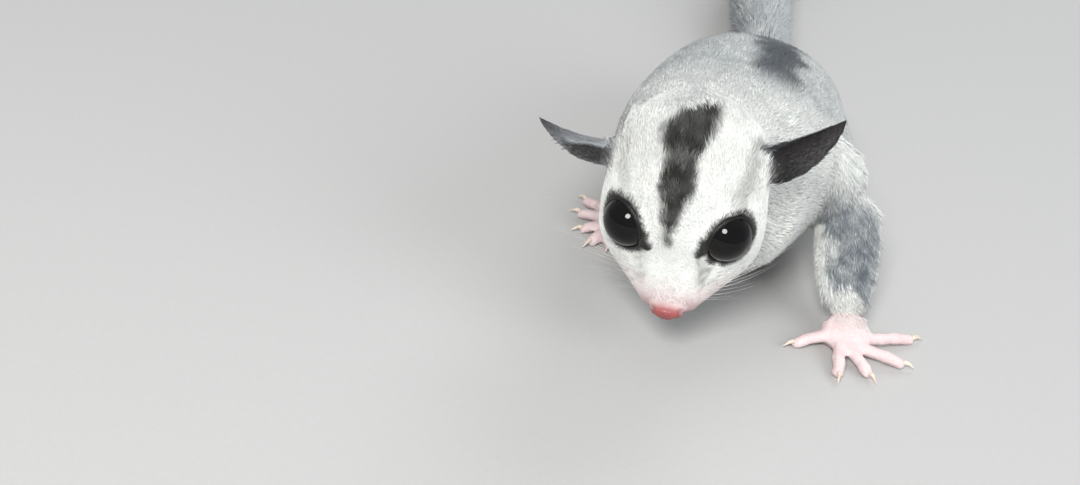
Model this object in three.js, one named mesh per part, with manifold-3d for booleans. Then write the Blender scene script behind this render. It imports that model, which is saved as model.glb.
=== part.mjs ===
// A life-size still model of a pale sugar glider that crouches with its head held low.
// Millimetres, +Z up. The animal faces -Y and its own left side is +X. Z = 0 is the surface it rests on.
// The solids reach out to the tips of the coat, and neighbouring pieces keep a thin gap.

import * as THREE from 'three';
import { mergeVertices } from 'three/addons/utils/BufferGeometryUtils.js';
import Module from 'manifold-3d';

const wasm = await Module();
wasm.setup();

// Driving dimensions
const GAP = 0.3;
const HEAD_PLACE = [2.5, -4, 12.3];
const HEAD_YAW = 15;
const HEAD_PITCH = 60;
const HEAD_ROLL = -15.5;
const EYE_RADIUS = 5.1;
const EYE_CENTRE = [9.1, 17.2, 7.2];
const EAR_THICKNESS = 0.9;
const EAR_UPPER_HALF = 3.6;
const EAR_LOWER_HALF = 5.9;
const MOUTH_CORNER = 13;
const JAW_REACH = 14;
const JAW_HALF_WIDTH = 20;
const TAIL_LENGTHS = 4;
const TAIL_RUN = 170;
const DIGIT_RADIUS = 1.4;
const DIGIT_ROOT = 2.5;
const CLAW_RADIUS = 0.55;
const CLAW_LENGTH = 1.9;
const FLOOR_REACH = 400;

const COLOURS = {
  coat: 0xdfe3e2,
  skin: 0xe9bcb4,
  nose: 0xd8605c,
  eye: 0x0b0b0d,
  ear: 0x4a4b50,
  claw: 0xe8ddd0,
};

const FINISHES = {
  coat: { color: COLOURS.coat, roughness: 0.85, metalness: 0 },
  skin: { color: COLOURS.skin, roughness: 0.55, metalness: 0 },
  nose: { color: COLOURS.nose, roughness: 0.4, metalness: 0 },
  eye: { color: COLOURS.eye, roughness: 0.05, metalness: 0 },
  ear: { color: COLOURS.ear, roughness: 0.65, metalness: 0 },
  claw: { color: COLOURS.claw, roughness: 0.4, metalness: 0 },
};

// A closed mesh is turned so that its faces point outwards.
function closedGeometry(positions, triangles) {
  let volume = 0;
  const a = new THREE.Vector3();
  const b = new THREE.Vector3();
  const c = new THREE.Vector3();
  for (const [i, j, k] of triangles) {
    volume += a.copy(positions[i]).dot(b.copy(positions[j]).cross(c.copy(positions[k])));
  }
  const index = triangles.flatMap(([i, j, k]) => (volume > 0 ? [i, j, k] : [i, k, j]));
  const geometry = new THREE.BufferGeometry().setFromPoints(positions);
  geometry.setIndex(index);
  return geometry;
}

// Each station is [x, y, z, half width, height above, depth below]; a smooth curve runs through them all.
// grow swells the body evenly, which makes the tool that cuts a neighbour back.
function loft(stations, options = {}) {
  const { sides = 12, rings = 8, from = 0, to = 1, up = [0, 0, 1], fullness = 2 } = options;
  const { taper = 0, grow = 0, startRound = 0, endRound = 0 } = options;
  const path = new THREE.CatmullRomCurve3(stations.map((s) => new THREE.Vector3(s[0], s[1], s[2])));
  const section = new THREE.CatmullRomCurve3(stations.map((s) => new THREE.Vector3(s[3], s[4], s[5])));
  path.curveType = 'catmullrom';
  section.curveType = 'catmullrom';
  const share = (k) => (1 - Math.cos((Math.PI * k) / rings)) / 2;
  const steps = Array.from({ length: rings + 1 }, (_, k) => from + (to - from) * share(k));
  const centres = steps.map((t) => path.getPoint(t));
  const along = [0];
  for (let k = 1; k <= rings; k += 1) along.push(along[k - 1] + centres[k].distanceTo(centres[k - 1]));
  const length = along[rings];
  const rounding = (distance, round) => {
    if (round <= 0 || distance >= round) return 1;
    return Math.sqrt(Math.max(0, 1 - (1 - distance / round) ** 2));
  };
  const positions = [];
  const ringStarts = [];
  for (let k = 0; k <= rings; k += 1) {
    const tangent = path.getTangent(steps[k]);
    const size = section.getPoint(steps[k]);
    const scale = rounding(along[k], startRound) * rounding(length - along[k], endRound);
    const centre = centres[k].clone();
    if (k === 0) centre.addScaledVector(tangent, -grow);
    if (k === rings) centre.addScaledVector(tangent, grow);
    if (scale === 0) {
      ringStarts.push(-1);
      positions.push(centre);
      continue;
    }
    const side = tangent.clone().cross(new THREE.Vector3(...up)).normalize();
    const lift = side.clone().cross(tangent).normalize();
    ringStarts.push(positions.length);
    for (let i = 0; i < sides; i += 1) {
      const angle = (2 * Math.PI * i) / sides;
      const cos = Math.sign(Math.cos(angle)) * Math.abs(Math.cos(angle)) ** (2 / fullness);
      const sin = Math.sign(Math.sin(angle)) * Math.abs(Math.sin(angle)) ** (2 / fullness);
      const across = (size.x * scale + grow) * cos * (1 - taper * Math.max(0, sin) ** 2);
      const height = ((sin > 0 ? size.y : size.z) * scale + grow) * sin;
      positions.push(centre.clone().addScaledVector(side, across).addScaledVector(lift, height));
    }
  }
  const triangles = [];
  const poles = [];
  const addPole = (centre) => {
    poles.push(centre.clone());
    return positions.length + poles.length - 1;
  };
  const fan = (start, apex, flip) => {
    for (let i = 0; i < sides; i += 1) {
      const j = (i + 1) % sides;
      triangles.push(flip ? [apex, start + j, start + i] : [apex, start + i, start + j]);
    }
  };
  const poleOf = [];
  let cursor = 0;
  for (let k = 0; k <= rings; k += 1) {
    poleOf.push(ringStarts[k] === -1 ? cursor : null);
    cursor += ringStarts[k] === -1 ? 1 : sides;
  }
  for (let k = 0; k < rings; k += 1) {
    const first = ringStarts[k];
    const second = ringStarts[k + 1];
    if (first === -1) fan(second, poleOf[k], false);
    else if (second === -1) fan(first, poleOf[k + 1], true);
    else {
      for (let i = 0; i < sides; i += 1) {
        const j = (i + 1) % sides;
        triangles.push([first + i, second + i, second + j], [first + i, second + j, first + j]);
      }
    }
  }
  if (ringStarts[0] !== -1) {
    const tangent = path.getTangent(steps[0]);
    fan(ringStarts[0], addPole(centres[0].clone().addScaledVector(tangent, -grow)), false);
  }
  if (ringStarts[rings] !== -1) {
    const tangent = path.getTangent(steps[rings]);
    fan(ringStarts[rings], addPole(centres[rings].clone().addScaledVector(tangent, grow)), true);
  }
  return closedGeometry(positions.concat(poles), triangles);
}

function toSolid(geometry) {
  const bare = geometry.clone();
  bare.deleteAttribute('normal');
  bare.deleteAttribute('uv');
  const merged = mergeVertices(bare, 1e-4);
  return new wasm.Manifold(new wasm.Mesh({
    numProp: 3,
    vertProperties: new Float32Array(merged.attributes.position.array),
    triVerts: new Uint32Array(merged.index.array),
  }));
}

function toGeometry(solid) {
  const mesh = solid.getMesh();
  const geometry = new THREE.BufferGeometry();
  geometry.setAttribute('position', new THREE.BufferAttribute(new Float32Array(mesh.vertProperties), 3));
  geometry.setIndex(new THREE.BufferAttribute(new Uint32Array(mesh.triVerts), 1));
  return geometry;
}

// The largest connected body of a cut is the piece; crumbs left by the cut are dropped.
function largest(solid) {
  return solid.decompose().reduce((best, piece) => (piece.volume() > best.volume() ? piece : best));
}

function cut(geometry, ...tools) {
  const solid = tools.reduce((rest, tool) => rest.subtract(toSolid(tool)), toSolid(geometry));
  return toGeometry(largest(solid));
}

function join(...geometries) {
  return toGeometry(geometries.map(toSolid).reduce((sum, next) => sum.add(next)));
}

// Everything below the resting surface is cut off, which leaves small flats under pads and digits.
function cutAtFloor(geometry) {
  const below = new THREE.BoxGeometry(FLOOR_REACH, FLOOR_REACH * 2, FLOOR_REACH);
  below.translate(0, 0, -FLOOR_REACH / 2);
  return cut(geometry, below);
}

// Head, in its own frame: the nose tip is the origin, +Y runs back, +Z is up out of the forehead.
const headStations = [
  [0, -0.2, 0, 3.6, 2.1, 2.1],
  [0, 2.0, -0.4, 5.6, 4.0, 3.4],
  [0, 5.5, -1.4, 8.8, 7.4, 4.6],
  [0, 9.5, -2.2, 13.2, 10.4, 5.4],
  [0, 14, -2.4, 16.2, 13.6, 6.6],
  [0, 20, -1.4, 16.8, 16.2, 8.4],
  [0, 27, -0.6, 16.2, 17.4, 9.0],
  [0, 34, 0, 14.6, 16.4, 8.6],
  [0, 40, 0, 12.4, 13.6, 7.0],
  [0, 44.5, 0, 9.0, 8.5, 5.0],
];
const headSolid = (grow) => loft(headStations, {
  sides: 22, rings: 15, taper: 0.1, startRound: 2.2, endRound: 8, grow,
});

const nosePad = (grow) => loft([
  [0, -1.3, 0.6, 2.5, 1.6, 1.5],
  [0, 0.3, 0.9, 3.3, 2.5, 2.0],
  [0, 2.3, 1.6, 2.9, 2.9, 1.8],
], { sides: 12, rings: 6, startRound: 1.4, endRound: 1.2, grow });

// The block below the mouth line, which parts the lower jaw from the head.
function jawBlock(grow) {
  const outline = new THREE.Shape();
  outline.moveTo(-JAW_REACH / 2, -2.1 + grow);
  outline.lineTo(3, -2.9 + grow);
  outline.lineTo(MOUTH_CORNER * 0.6, -4.3 + grow);
  outline.lineTo(MOUTH_CORNER + grow, -5.2 + grow);
  outline.lineTo(MOUTH_CORNER + 3 + grow, -7 + grow);
  outline.lineTo(MOUTH_CORNER + 4 + grow, -JAW_REACH);
  outline.lineTo(-JAW_REACH / 2, -JAW_REACH);
  const block = new THREE.ExtrudeGeometry(outline, { depth: JAW_HALF_WIDTH * 2, bevelEnabled: false });
  block.rotateX(Math.PI / 2);
  block.rotateZ(Math.PI / 2);
  block.translate(-JAW_HALF_WIDTH, 0, 0);
  return block;
}

function eyeball(side, grow) {
  const ball = new THREE.SphereGeometry(EYE_RADIUS + grow, 14, 9);
  return ball.translate(side * EYE_CENTRE[0], EYE_CENTRE[1], EYE_CENTRE[2]);
}

// An ear is a cupped leaf: a nearly straight upper edge and a lower edge that bulges and narrows to a point.
function earLeaf({ root, tip, inside }) {
  const columns = 8;
  const rows = 6;
  const start = new THREE.Vector3(...root);
  const reach = new THREE.Vector3(...tip).sub(start);
  const length = reach.length();
  const along = reach.clone().normalize();
  const opening = new THREE.Vector3(...inside);
  const facing = opening.addScaledVector(along, -along.dot(opening)).normalize();
  const across = facing.clone().cross(along).normalize();
  if (across.y < 0) across.negate();
  const upper = (u) => EAR_UPPER_HALF * (1 - u ** 1.2);
  const bulge = (u) => Math.sqrt(Math.sin(Math.PI * Math.min(1, 0.28 + 0.72 * u)));
  const lower = (u) => EAR_LOWER_HALF * bulge(u) * (1 - 0.25 * u);
  const layer = (offset) => {
    const points = [];
    for (let c = 0; c <= columns; c += 1) {
      const u = (c / columns) * 0.985;
      for (let r = 0; r <= rows; r += 1) {
        const v = (2 * r) / rows - 1;
        const wide = v > 0 ? v * upper(u) : v * lower(u);
        const cup = (2.4 * (1 - u) + 0.7) * v * v + 1.6 * Math.sin(Math.PI * u);
        const thick = offset * EAR_THICKNESS * (1 - 0.25 * u);
        points.push(start.clone().addScaledVector(along, u * length).addScaledVector(across, wide)
          .addScaledVector(facing, cup + thick));
      }
    }
    return points;
  };
  const front = layer(0.5);
  const back = layer(-0.5);
  const count = front.length;
  const triangles = [];
  const at = (c, r) => c * (rows + 1) + r;
  for (let c = 0; c < columns; c += 1) {
    for (let r = 0; r < rows; r += 1) {
      const quad = [at(c, r), at(c + 1, r), at(c + 1, r + 1), at(c, r + 1)];
      triangles.push([quad[0], quad[1], quad[2]], [quad[0], quad[2], quad[3]]);
      const far = quad.map((i) => i + count);
      triangles.push([far[0], far[2], far[1]], [far[0], far[3], far[2]]);
    }
  }
  const rim = [];
  for (let c = 0; c < columns; c += 1) rim.push([at(c, 0), at(c + 1, 0)]);
  for (let r = 0; r < rows; r += 1) rim.push([at(columns, r), at(columns, r + 1)]);
  for (let c = columns; c > 0; c -= 1) rim.push([at(c, rows), at(c - 1, rows)]);
  for (let r = rows; r > 0; r -= 1) rim.push([at(0, r), at(0, r - 1)]);
  for (const [i, j] of rim) triangles.push([i, i + count, j + count], [i, j + count, j]);
  return closedGeometry(front.concat(back), triangles);
}

const ears = {
  left: { root: [13.2, 32.0, 3.5], tip: [28.4, 42.6, 2.5], inside: [0.2, -0.35, 0.9] },
  right: { root: [-12.6, 31.4, 3.5], tip: [-30.4, 34.6, 5.5], inside: [-0.2, -0.85, -0.5] },
};

const headTurn = new THREE.Matrix4()
  .multiply(new THREE.Matrix4().makeTranslation(...HEAD_PLACE))
  .multiply(new THREE.Matrix4().makeRotationZ(THREE.MathUtils.degToRad(HEAD_YAW)))
  .multiply(new THREE.Matrix4().makeRotationX(THREE.MathUtils.degToRad(HEAD_PITCH)))
  .multiply(new THREE.Matrix4().makeRotationY(THREE.MathUtils.degToRad(HEAD_ROLL)));
const headInPlace = (grow) => headSolid(grow).applyMatrix4(headTurn);

// Body
const trunkSolid = (grow) => loft([
  [1, 16, 29.5, 14, 16, 15],
  [3.2, 27, 26, 21.9, 22, 21.6],
  [3.8, 40, 25.5, 24, 21, 21.6],
  [5.2, 54, 25.5, 23.4, 19, 20],
  [6.4, 68, 23, 22.8, 18, 17.5],
  [7, 81, 19.6, 21.4, 16, 14.6],
  [7, 92, 16.2, 17.4, 12.8, 11.2],
  [6.5, 101, 13.4, 12, 9, 8.6],
  [6, 108, 11.4, 7.6, 6.4, 6.6],
], { sides: 24, rings: 15, fullness: 2.2, taper: 0.08, startRound: 9, endRound: 8, grow });

const neckSolid = (grow) => loft([
  [-2.5, 6, 36, 12, 11, 10],
  [-1.6, 13, 36.5, 15.6, 14.6, 10],
  [-0.2, 20, 34.6, 18.8, 16, 9],
  [1.4, 26.5, 32.4, 20, 16, 8],
  [2.8, 33, 30.6, 17.6, 14, 7],
], { sides: 16, rings: 7, startRound: 5, endRound: 4, grow });

const limbs = {
  upper_arm_left: [
    [12, 38, 28, 10, 8.6, 9],
    [22, 42, 26, 11, 10.8, 10.5],
    [31.4, 47.2, 19.8, 9.4, 9.8, 9.2],
  ],
  forearm_left: [
    [32, 47.5, 19, 8.2, 8.6, 8.4],
    [34.2, 40.5, 16.2, 8.1, 8, 7.8],
    [36, 33, 11.8, 7.6, 6.8, 6.6],
    [37.2, 27, 8, 6.4, 5, 4.8],
    [38.4, 23.4, 5.2, 3.6, 2.9, 2.8],
  ],
  upper_arm_right: [
    [-2, 39, 28, 9, 9, 9],
    [-10, 44.5, 23.5, 10, 10, 9.5],
    [-12.8, 51.5, 17.5, 8.4, 8.6, 8.4],
  ],
  forearm_right: [
    [-12.8, 52.5, 16.8, 7.6, 8, 7.8],
    [-13.2, 48, 13.4, 7.2, 7.2, 7],
    [-13.2, 44, 9.2, 6.2, 5.4, 5.2],
    [-12.8, 40.6, 5.8, 3.8, 3.1, 3],
  ],
  thigh_left: [
    [13, 90, 16, 9, 10, 9],
    [20.6, 83, 16, 9.6, 11.5, 10.5],
    [26, 73.5, 13.8, 8.2, 10.4, 9.6],
    [28, 68.5, 12.4, 6, 7.4, 7],
  ],
  shank_left: [
    [27.6, 70, 10.6, 6.4, 7, 7],
    [29.2, 78, 8.6, 6.6, 6.6, 6],
    [29, 86.5, 6.6, 5.2, 5.2, 4.6],
    [28.2, 93, 4.9, 3.4, 3.4, 3],
  ],
  thigh_right: [
    [2, 90, 16, 9, 10, 9],
    [-8.5, 82, 15, 9, 11, 10],
    [-13.6, 73.5, 12.6, 7.4, 9.2, 8.6],
    [-14.6, 69, 12, 5.4, 6.6, 6.4],
  ],
  shank_right: [
    [-14, 70, 10, 6.2, 6.4, 6.6],
    [-16, 78, 8.2, 6.2, 6, 5.8],
    [-16.4, 86.5, 6.6, 5, 5, 4.6],
    [-16, 93, 4.9, 3.4, 3.4, 3],
  ],
};
const limb = (name, grow) => loft(limbs[name], { sides: 12, rings: 7, startRound: 5, endRound: 2.5, grow });

const membranes = {
  left: [
    [27.4, 46, 14, 4, 9, 6],
    [28.6, 54, 13.4, 5.2, 12, 8],
    [29, 63, 12.4, 5.6, 12, 8],
    [28, 72, 11.6, 4.6, 9, 7],
  ],
  right: [
    [-14.6, 50, 13.4, 4, 8, 6],
    [-16.4, 57, 12.8, 4.8, 10, 8],
    [-16.8, 64, 12, 5, 10, 7.6],
    [-15.6, 71, 11, 4.2, 8, 6.6],
  ],
};
const membrane = (side, grow) => loft(membranes[side], {
  sides: 9, rings: 6, startRound: 4, endRound: 4, grow,
});

// A paw is a low palm with digits that arch from it and press down at their tips.
const paws = {
  hand_left: {
    palm: [
      [38.6, 24.5, 4.6, 3.6, 2.8, 3.2],
      [39.4, 20.5, 3, 5.8, 2.6, 3.7],
      [40.6, 16, 2, 5.2, 1.9, 2.7],
    ],
    digits: [
      { from: [36.6, 19.4], to: [28.8, 13.8] },
      { from: [38.4, 16.6], to: [39.4, 7.4] },
      { from: [41.2, 15.4], to: [46, 10.6] },
      { from: [43.4, 17.2], to: [53, 18.2] },
      { from: [43.2, 20.4], to: [54.6, 28.6] },
    ],
    claws: 5,
  },
  hand_right: {
    palm: [
      [-12.8, 41.2, 4.6, 3.4, 2.6, 3.4],
      [-14.6, 38.6, 3.2, 5, 2.6, 4],
      [-16.6, 36.8, 2.2, 4.6, 1.9, 3],
    ],
    digits: [
      { from: [-13.4, 35.4], to: [-14.4, 29.2] },
      { from: [-15.4, 34.6], to: [-18.8, 28.6] },
      { from: [-16.8, 35.4], to: [-22, 33] },
      { from: [-17.2, 37.6], to: [-24, 39.4] },
      { from: [-16.6, 40], to: [-24, 45.6] },
    ],
    claws: 5,
  },
  foot_left: {
    palm: [
      [28, 95.5, 3.2, 2.8, 2.4, 3.2],
      [29, 89, 2.8, 3.8, 2.6, 3],
      [30.5, 82, 2.2, 4.4, 2.1, 2.5],
      [31.4, 78.5, 1.8, 4.2, 1.7, 2.1],
    ],
    digits: [
      { from: [28.6, 84], to: [23.4, 78] },
      { from: [29.4, 79], to: [28.4, 69.6] },
      { from: [30.6, 78], to: [31.6, 68] },
      { from: [32.4, 78], to: [35.8, 68] },
      { from: [33.8, 79.6], to: [39.8, 72] },
    ],
    claws: 4,
  },
  foot_right: {
    palm: [
      [-16, 95.5, 3.2, 2.8, 2.4, 3.2],
      [-16.6, 89, 2.8, 3.8, 2.6, 3],
      [-17.6, 82, 2.2, 4.4, 2.1, 2.5],
      [-18.2, 78.5, 1.8, 4.2, 1.7, 2.1],
    ],
    digits: [
      { from: [-15.6, 84], to: [-10.6, 78] },
      { from: [-16.4, 79], to: [-13.6, 71] },
      { from: [-17.4, 78], to: [-16.8, 69.6] },
      { from: [-18.6, 78], to: [-20.2, 70] },
      { from: [-19.8, 79.6], to: [-23.6, 73.6] },
    ],
    claws: 4,
  },
};

function digit({ from, to }) {
  const knuckle = new THREE.Vector3(from[0], from[1], 2.2);
  const end = new THREE.Vector3(to[0], to[1], 0.95);
  const start = knuckle.clone().addScaledVector(end.clone().sub(knuckle).setZ(0).normalize(), -DIGIT_ROOT);
  const middle = start.clone().lerp(end, 0.5).setZ(2.5);
  const beforeTip = start.clone().lerp(end, 0.82).setZ(1.05);
  const station = (point, scale) => {
    const radius = scale * DIGIT_RADIUS;
    return [point.x, point.y, point.z, radius, radius, radius];
  };
  return loft([station(start, 1.15), station(middle, 0.92), station(beforeTip, 1.05), station(end, 0.85)], {
    sides: 6, rings: 4, endRound: 1,
  });
}

function claw({ from, to }) {
  const direction = new THREE.Vector3(to[0] - from[0], to[1] - from[1], 0).normalize();
  const root = new THREE.Vector3(to[0], to[1], 1.25).addScaledVector(direction, GAP);
  const point = (distance, height, radius) => {
    const p = root.clone().addScaledVector(direction, distance * CLAW_LENGTH);
    return [p.x, p.y, height, radius * CLAW_RADIUS, radius * CLAW_RADIUS * 1.3, radius * CLAW_RADIUS * 1.3];
  };
  return loft([point(0, 1.3, 1), point(0.5, 1.35, 0.75), point(1, 0.7, 0.3)], { sides: 5, rings: 2 });
}

function paw(name) {
  const { palm, digits } = paws[name];
  const pad = loft(palm, { sides: 9, rings: 5, startRound: 2, endRound: 3 });
  return cutAtFloor(join(pad, ...digits.map(digit)));
}

// Tail, laid along the resting surface in an easy bend and parted into even lengths.
const tailStations = [
  [6, 103, 11.4, 6.4, 6.4, 6.2],
  [6, 116, 9, 7.2, 7.2, 7.6],
  [5, 138, 9.2, 9, 9, 9.4],
  [1, 162, 10.2, 10.4, 10.4, 10.5],
  [-1, 188, 10.5, 10.8, 10.8, 10.8],
  [3, 213, 10.2, 10.4, 10.4, 10.5],
  [11, 235, 9.2, 9, 9, 9.4],
  [18, 250, 7.4, 6, 6, 7],
  [22, 258, 5.2, 2.4, 2.4, 3.4],
];
function tailLength(number) {
  const half = GAP / 2 / TAIL_RUN;
  const from = number === 0 ? 0 : number / TAIL_LENGTHS + half;
  const to = number === TAIL_LENGTHS - 1 ? 1 : (number + 1) / TAIL_LENGTHS - half;
  const whole = loft(tailStations, {
    sides: 14,
    rings: 5,
    from,
    to,
    startRound: number === 0 ? 5 : 0,
    endRound: number === TAIL_LENGTHS - 1 ? 3 : 0,
  });
  return cutAtFloor(number === 0 ? cut(whole, trunkSolid(GAP)) : whole);
}

const model = new THREE.Group();

function addPiece(name, geometry, finish, parent = model) {
  geometry.computeBoundingBox();
  const centre = geometry.boundingBox.getCenter(new THREE.Vector3());
  geometry.translate(-centre.x, -centre.y, -centre.z);
  const mesh = new THREE.Mesh(geometry, new THREE.MeshStandardMaterial(FINISHES[finish]));
  mesh.name = name;
  mesh.position.copy(centre);
  parent.add(mesh);
}

const headGroup = new THREE.Group();
headTurn.decompose(headGroup.position, headGroup.quaternion, headGroup.scale);
model.add(headGroup);

const sockets = [eyeball(1, GAP), eyeball(-1, GAP)];
addPiece('head', cut(headSolid(0), jawBlock(GAP), nosePad(GAP), ...sockets), 'coat', headGroup);
const jaw = toSolid(headSolid(0)).intersect(toSolid(jawBlock(0))).subtract(toSolid(nosePad(GAP)));
addPiece('lower_jaw', toGeometry(largest(jaw)), 'coat', headGroup);
addPiece('nose_pad', nosePad(0), 'nose', headGroup);
addPiece('eye_left', eyeball(1, 0), 'eye', headGroup);
addPiece('eye_right', eyeball(-1, 0), 'eye', headGroup);
for (const [side, shape] of Object.entries(ears)) {
  addPiece(`ear_${side}`, cut(earLeaf(shape), headSolid(GAP)), 'ear', headGroup);
}

addPiece('neck', cut(neckSolid(0), headInPlace(GAP), trunkSolid(GAP)), 'coat');
addPiece('trunk', cut(trunkSolid(0), headInPlace(GAP)), 'coat');

for (const side of ['left', 'right']) {
  const upperArm = `upper_arm_${side}`;
  const forearm = `forearm_${side}`;
  const thigh = `thigh_${side}`;
  const shank = `shank_${side}`;
  const trunk = trunkSolid(GAP);
  const neck = neckSolid(GAP);
  addPiece(upperArm, cut(limb(upperArm, 0), trunk, neck), 'coat');
  addPiece(forearm, cutAtFloor(cut(limb(forearm, 0), trunk, neck, limb(upperArm, GAP))), 'coat');
  addPiece(`hand_${side}`, cut(paw(`hand_${side}`), limb(forearm, GAP)), 'skin');
  addPiece(thigh, cut(limb(thigh, 0), trunk), 'coat');
  addPiece(shank, cut(limb(shank, 0), trunk, limb(thigh, GAP)), 'coat');
  addPiece(`foot_${side}`, cut(paw(`foot_${side}`), limb(shank, GAP)), 'skin');
  addPiece(`gliding_membrane_${side}`, cut(membrane(side, 0), trunk, limb(upperArm, GAP), limb(forearm, GAP),
    limb(thigh, GAP), limb(shank, GAP)), 'coat');
}

for (const [name, { digits, claws }] of Object.entries(paws)) {
  digits.slice(digits.length - claws).forEach((shape, number) => {
    addPiece(`claw_${name}_${number + 1}`, claw(shape), 'claw');
  });
}

for (let number = 0; number < TAIL_LENGTHS; number += 1) {
  addPiece(`tail_${number + 1}`, tailLength(number), 'coat');
}

// The origin goes to the resting surface, under the middle of the whole animal.
const extent = new THREE.Box3().setFromObject(model, true);
const middle = extent.getCenter(new THREE.Vector3());
model.position.set(-middle.x, -middle.y, -extent.min.z);

export default model;
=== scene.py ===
import math

import bmesh
import bpy
import numpy as np
from bpy.props import FloatProperty, FloatVectorProperty, IntProperty, PointerProperty
from mathutils import Matrix, Vector
from mathutils.bvhtree import BVHTree
from mathutils.kdtree import KDTree


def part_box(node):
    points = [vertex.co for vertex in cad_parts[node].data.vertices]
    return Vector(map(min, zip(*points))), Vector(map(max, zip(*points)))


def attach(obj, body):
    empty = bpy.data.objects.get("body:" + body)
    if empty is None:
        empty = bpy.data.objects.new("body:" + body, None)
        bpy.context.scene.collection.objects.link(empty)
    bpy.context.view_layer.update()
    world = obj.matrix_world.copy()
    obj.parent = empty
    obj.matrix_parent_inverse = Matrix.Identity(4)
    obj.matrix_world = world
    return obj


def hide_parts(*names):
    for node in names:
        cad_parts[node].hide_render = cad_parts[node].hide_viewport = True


bl_info = {
    "name": "Sugar Glider",
    "version": (1, 0, 0),
    "blender": (4, 5, 0),
    "location": "View3D > Sidebar > Glider",
    "description": "Skin, coat, eyes, claws and whiskers of a life-size pale sugar glider",
    "category": "Object",
}

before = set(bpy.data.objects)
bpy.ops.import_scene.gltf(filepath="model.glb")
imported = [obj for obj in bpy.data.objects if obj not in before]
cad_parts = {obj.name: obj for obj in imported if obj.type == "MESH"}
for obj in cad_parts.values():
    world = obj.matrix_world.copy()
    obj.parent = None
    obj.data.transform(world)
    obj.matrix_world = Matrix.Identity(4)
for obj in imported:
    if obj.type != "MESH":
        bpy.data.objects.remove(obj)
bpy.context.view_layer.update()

# Arrays are in millimetres and meshes in metres.
MM = 0.001
SIGNS = {"left": 1, "right": -1}

# The head's own frame has its origin at the nose tip, +Y back and +Z out of the forehead.
HEAD_PLACE = np.array([2.5, -4.0, 12.3])
HEAD_YAW = 15.0
HEAD_PITCH = 60.0
HEAD_ROLL = -15.5
EYE_CENTRE = np.array([9.1, 17.2, 7.2])
EYE_RADIUS = 5.1
EYE_RINGS, EYE_SIDES = 40, 56
CORNEA_RISE = 0.16
EYE_CLEARANCE = 0.10
LID_SPOKES = 72
LID_SIDES = 9
LID_RADIUS = 0.42

# An ear's root, tip and the way its hollow faces, in the head's frame.
EARS = {
    "left": ((13.2, 32.0, 3.5), (28.4, 42.6, 2.5), (0.2, -0.35, 0.9)),
    "right": ((-12.6, 31.4, 3.5), (-30.4, 34.6, 5.5), (-0.2, -0.85, -0.5)),
}

# The dark forehead stripe: distance back from the nose, middle to the animal's left, half width.
STRIPE = (
    (12.2, -1.2, 0.2),
    (15.0, -1.1, 0.9),
    (18.0, -0.9, 1.6),
    (21.0, -0.7, 2.5),
    (24.4, -0.5, 3.2),
    (27.4, -0.5, 3.3),
    (29.8, -0.6, 3.3),
    (32.8, -0.6, 4.7),
    (35.2, 0.1, 5.0),
    (37.4, 1.6, 3.9),
    (39.2, 3.2, 2.2),
    (40.8, 4.4, 0.4),
)
STRIPE_WAIST = 29.8

# Kinds of surface: coat depth, hair length, tuft width in mm, tufts on a square mm, and how far hair stands.
KINDS = {
    "face": (0.9, 2.5, 0.22, 7.6, 0.26),
    "nose": (0.0, 0.0, 0.10, 0.0, 0.0),
    "ear": (0.0, 1.0, 0.12, 0.0, 0.30),
    "body": (1.5, 3.2, 0.26, 5.4, 0.26),
    "arm": (1.3, 2.7, 0.24, 5.4, 0.30),
    "leg": (1.5, 3.2, 0.28, 4.4, 0.30),
    "hand": (0.0, 0.9, 0.14, 0.0, 0.2),
    "tail": (5.6, 8.4, 0.40, 6.0, 0.42),
}
KIND_NAMES = list(KINDS)
BARE_KINDS = ("ear", "hand", "nose")
TAIL_NODES = ["tail_1", "tail_2", "tail_3", "tail_4"]

# The coat lies from the first node's middle to the second's.
LIE = {
    "upper_arm": ("upper_arm", "forearm"),
    "forearm": ("upper_arm", "hand"),
    "thigh": ("thigh", "shank"),
    "shank": ("thigh", "foot"),
    "hand": ("forearm", "hand"),
    "foot": ("shank", "foot"),
}

# How far each CAD node is swollen, to close the gap to its neighbours.
FLESH_SWELL = 0.24
EAR_SWELL = 0.08

# The skin: what it is thinned to, the steps in which it sinks, and how far a round moves a point
# toward the mean of its neighbours.
SKIN_TRIANGLES = 170000
SINK_STEPS = 6
SOFTNESS = 0.6

# Rounds of smoothing for each part of the skin.
HEAD_ROUNDS = 70
PAW_ROUNDS = 5
EAR_ROUNDS = 9
CREASE_ROUNDS = 150
TRUNK_ROUNDS = 120
TAIL_ROUNDS = 5

# The coat's pieces: kind and the number of pieces that it is parted into along its length.
COAT_PIECES = (("face", 2), ("body", 4), ("arm", 2), ("leg", 1), ("tail", 2), ("ear", 1), ("hand", 1))
TUFT_RINGS = 2
TUFT_SIDES = 3
# The most tufts in one coat piece, which keeps it under 200,000 triangles.
MOST_TUFTS = 19000
BAKE_PATCH = 0.003

CLAW_SUNK = 2.2
CLAW_REACH = 2.9
CLAW_RADIUS = 0.52
CLAW_HEIGHT = 1.25
CLAW_RINGS = 9
CLAW_SIDES = 10

WHISKER_THICKNESS = 0.00005
WHISKER_DROOP = 0.18
WHISKER_SEED = 3

# The camera: focal length in pixels, the image's size, and a point of the animal with its pixel.
FOCAL = 1404.0
IMAGE = (1080.0, 485.0)
LOOK = np.array([0.0, 0.0, 28.0])
LOOK_PIXEL = (676.0, 233.0)
CAMERA_AZIMUTH = 8.0
CAMERA_ELEVATION = 34.0
CAMERA_ROLL = 12.0
CAMERA_DISTANCE = 270.0
SENSOR = 36.0

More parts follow.
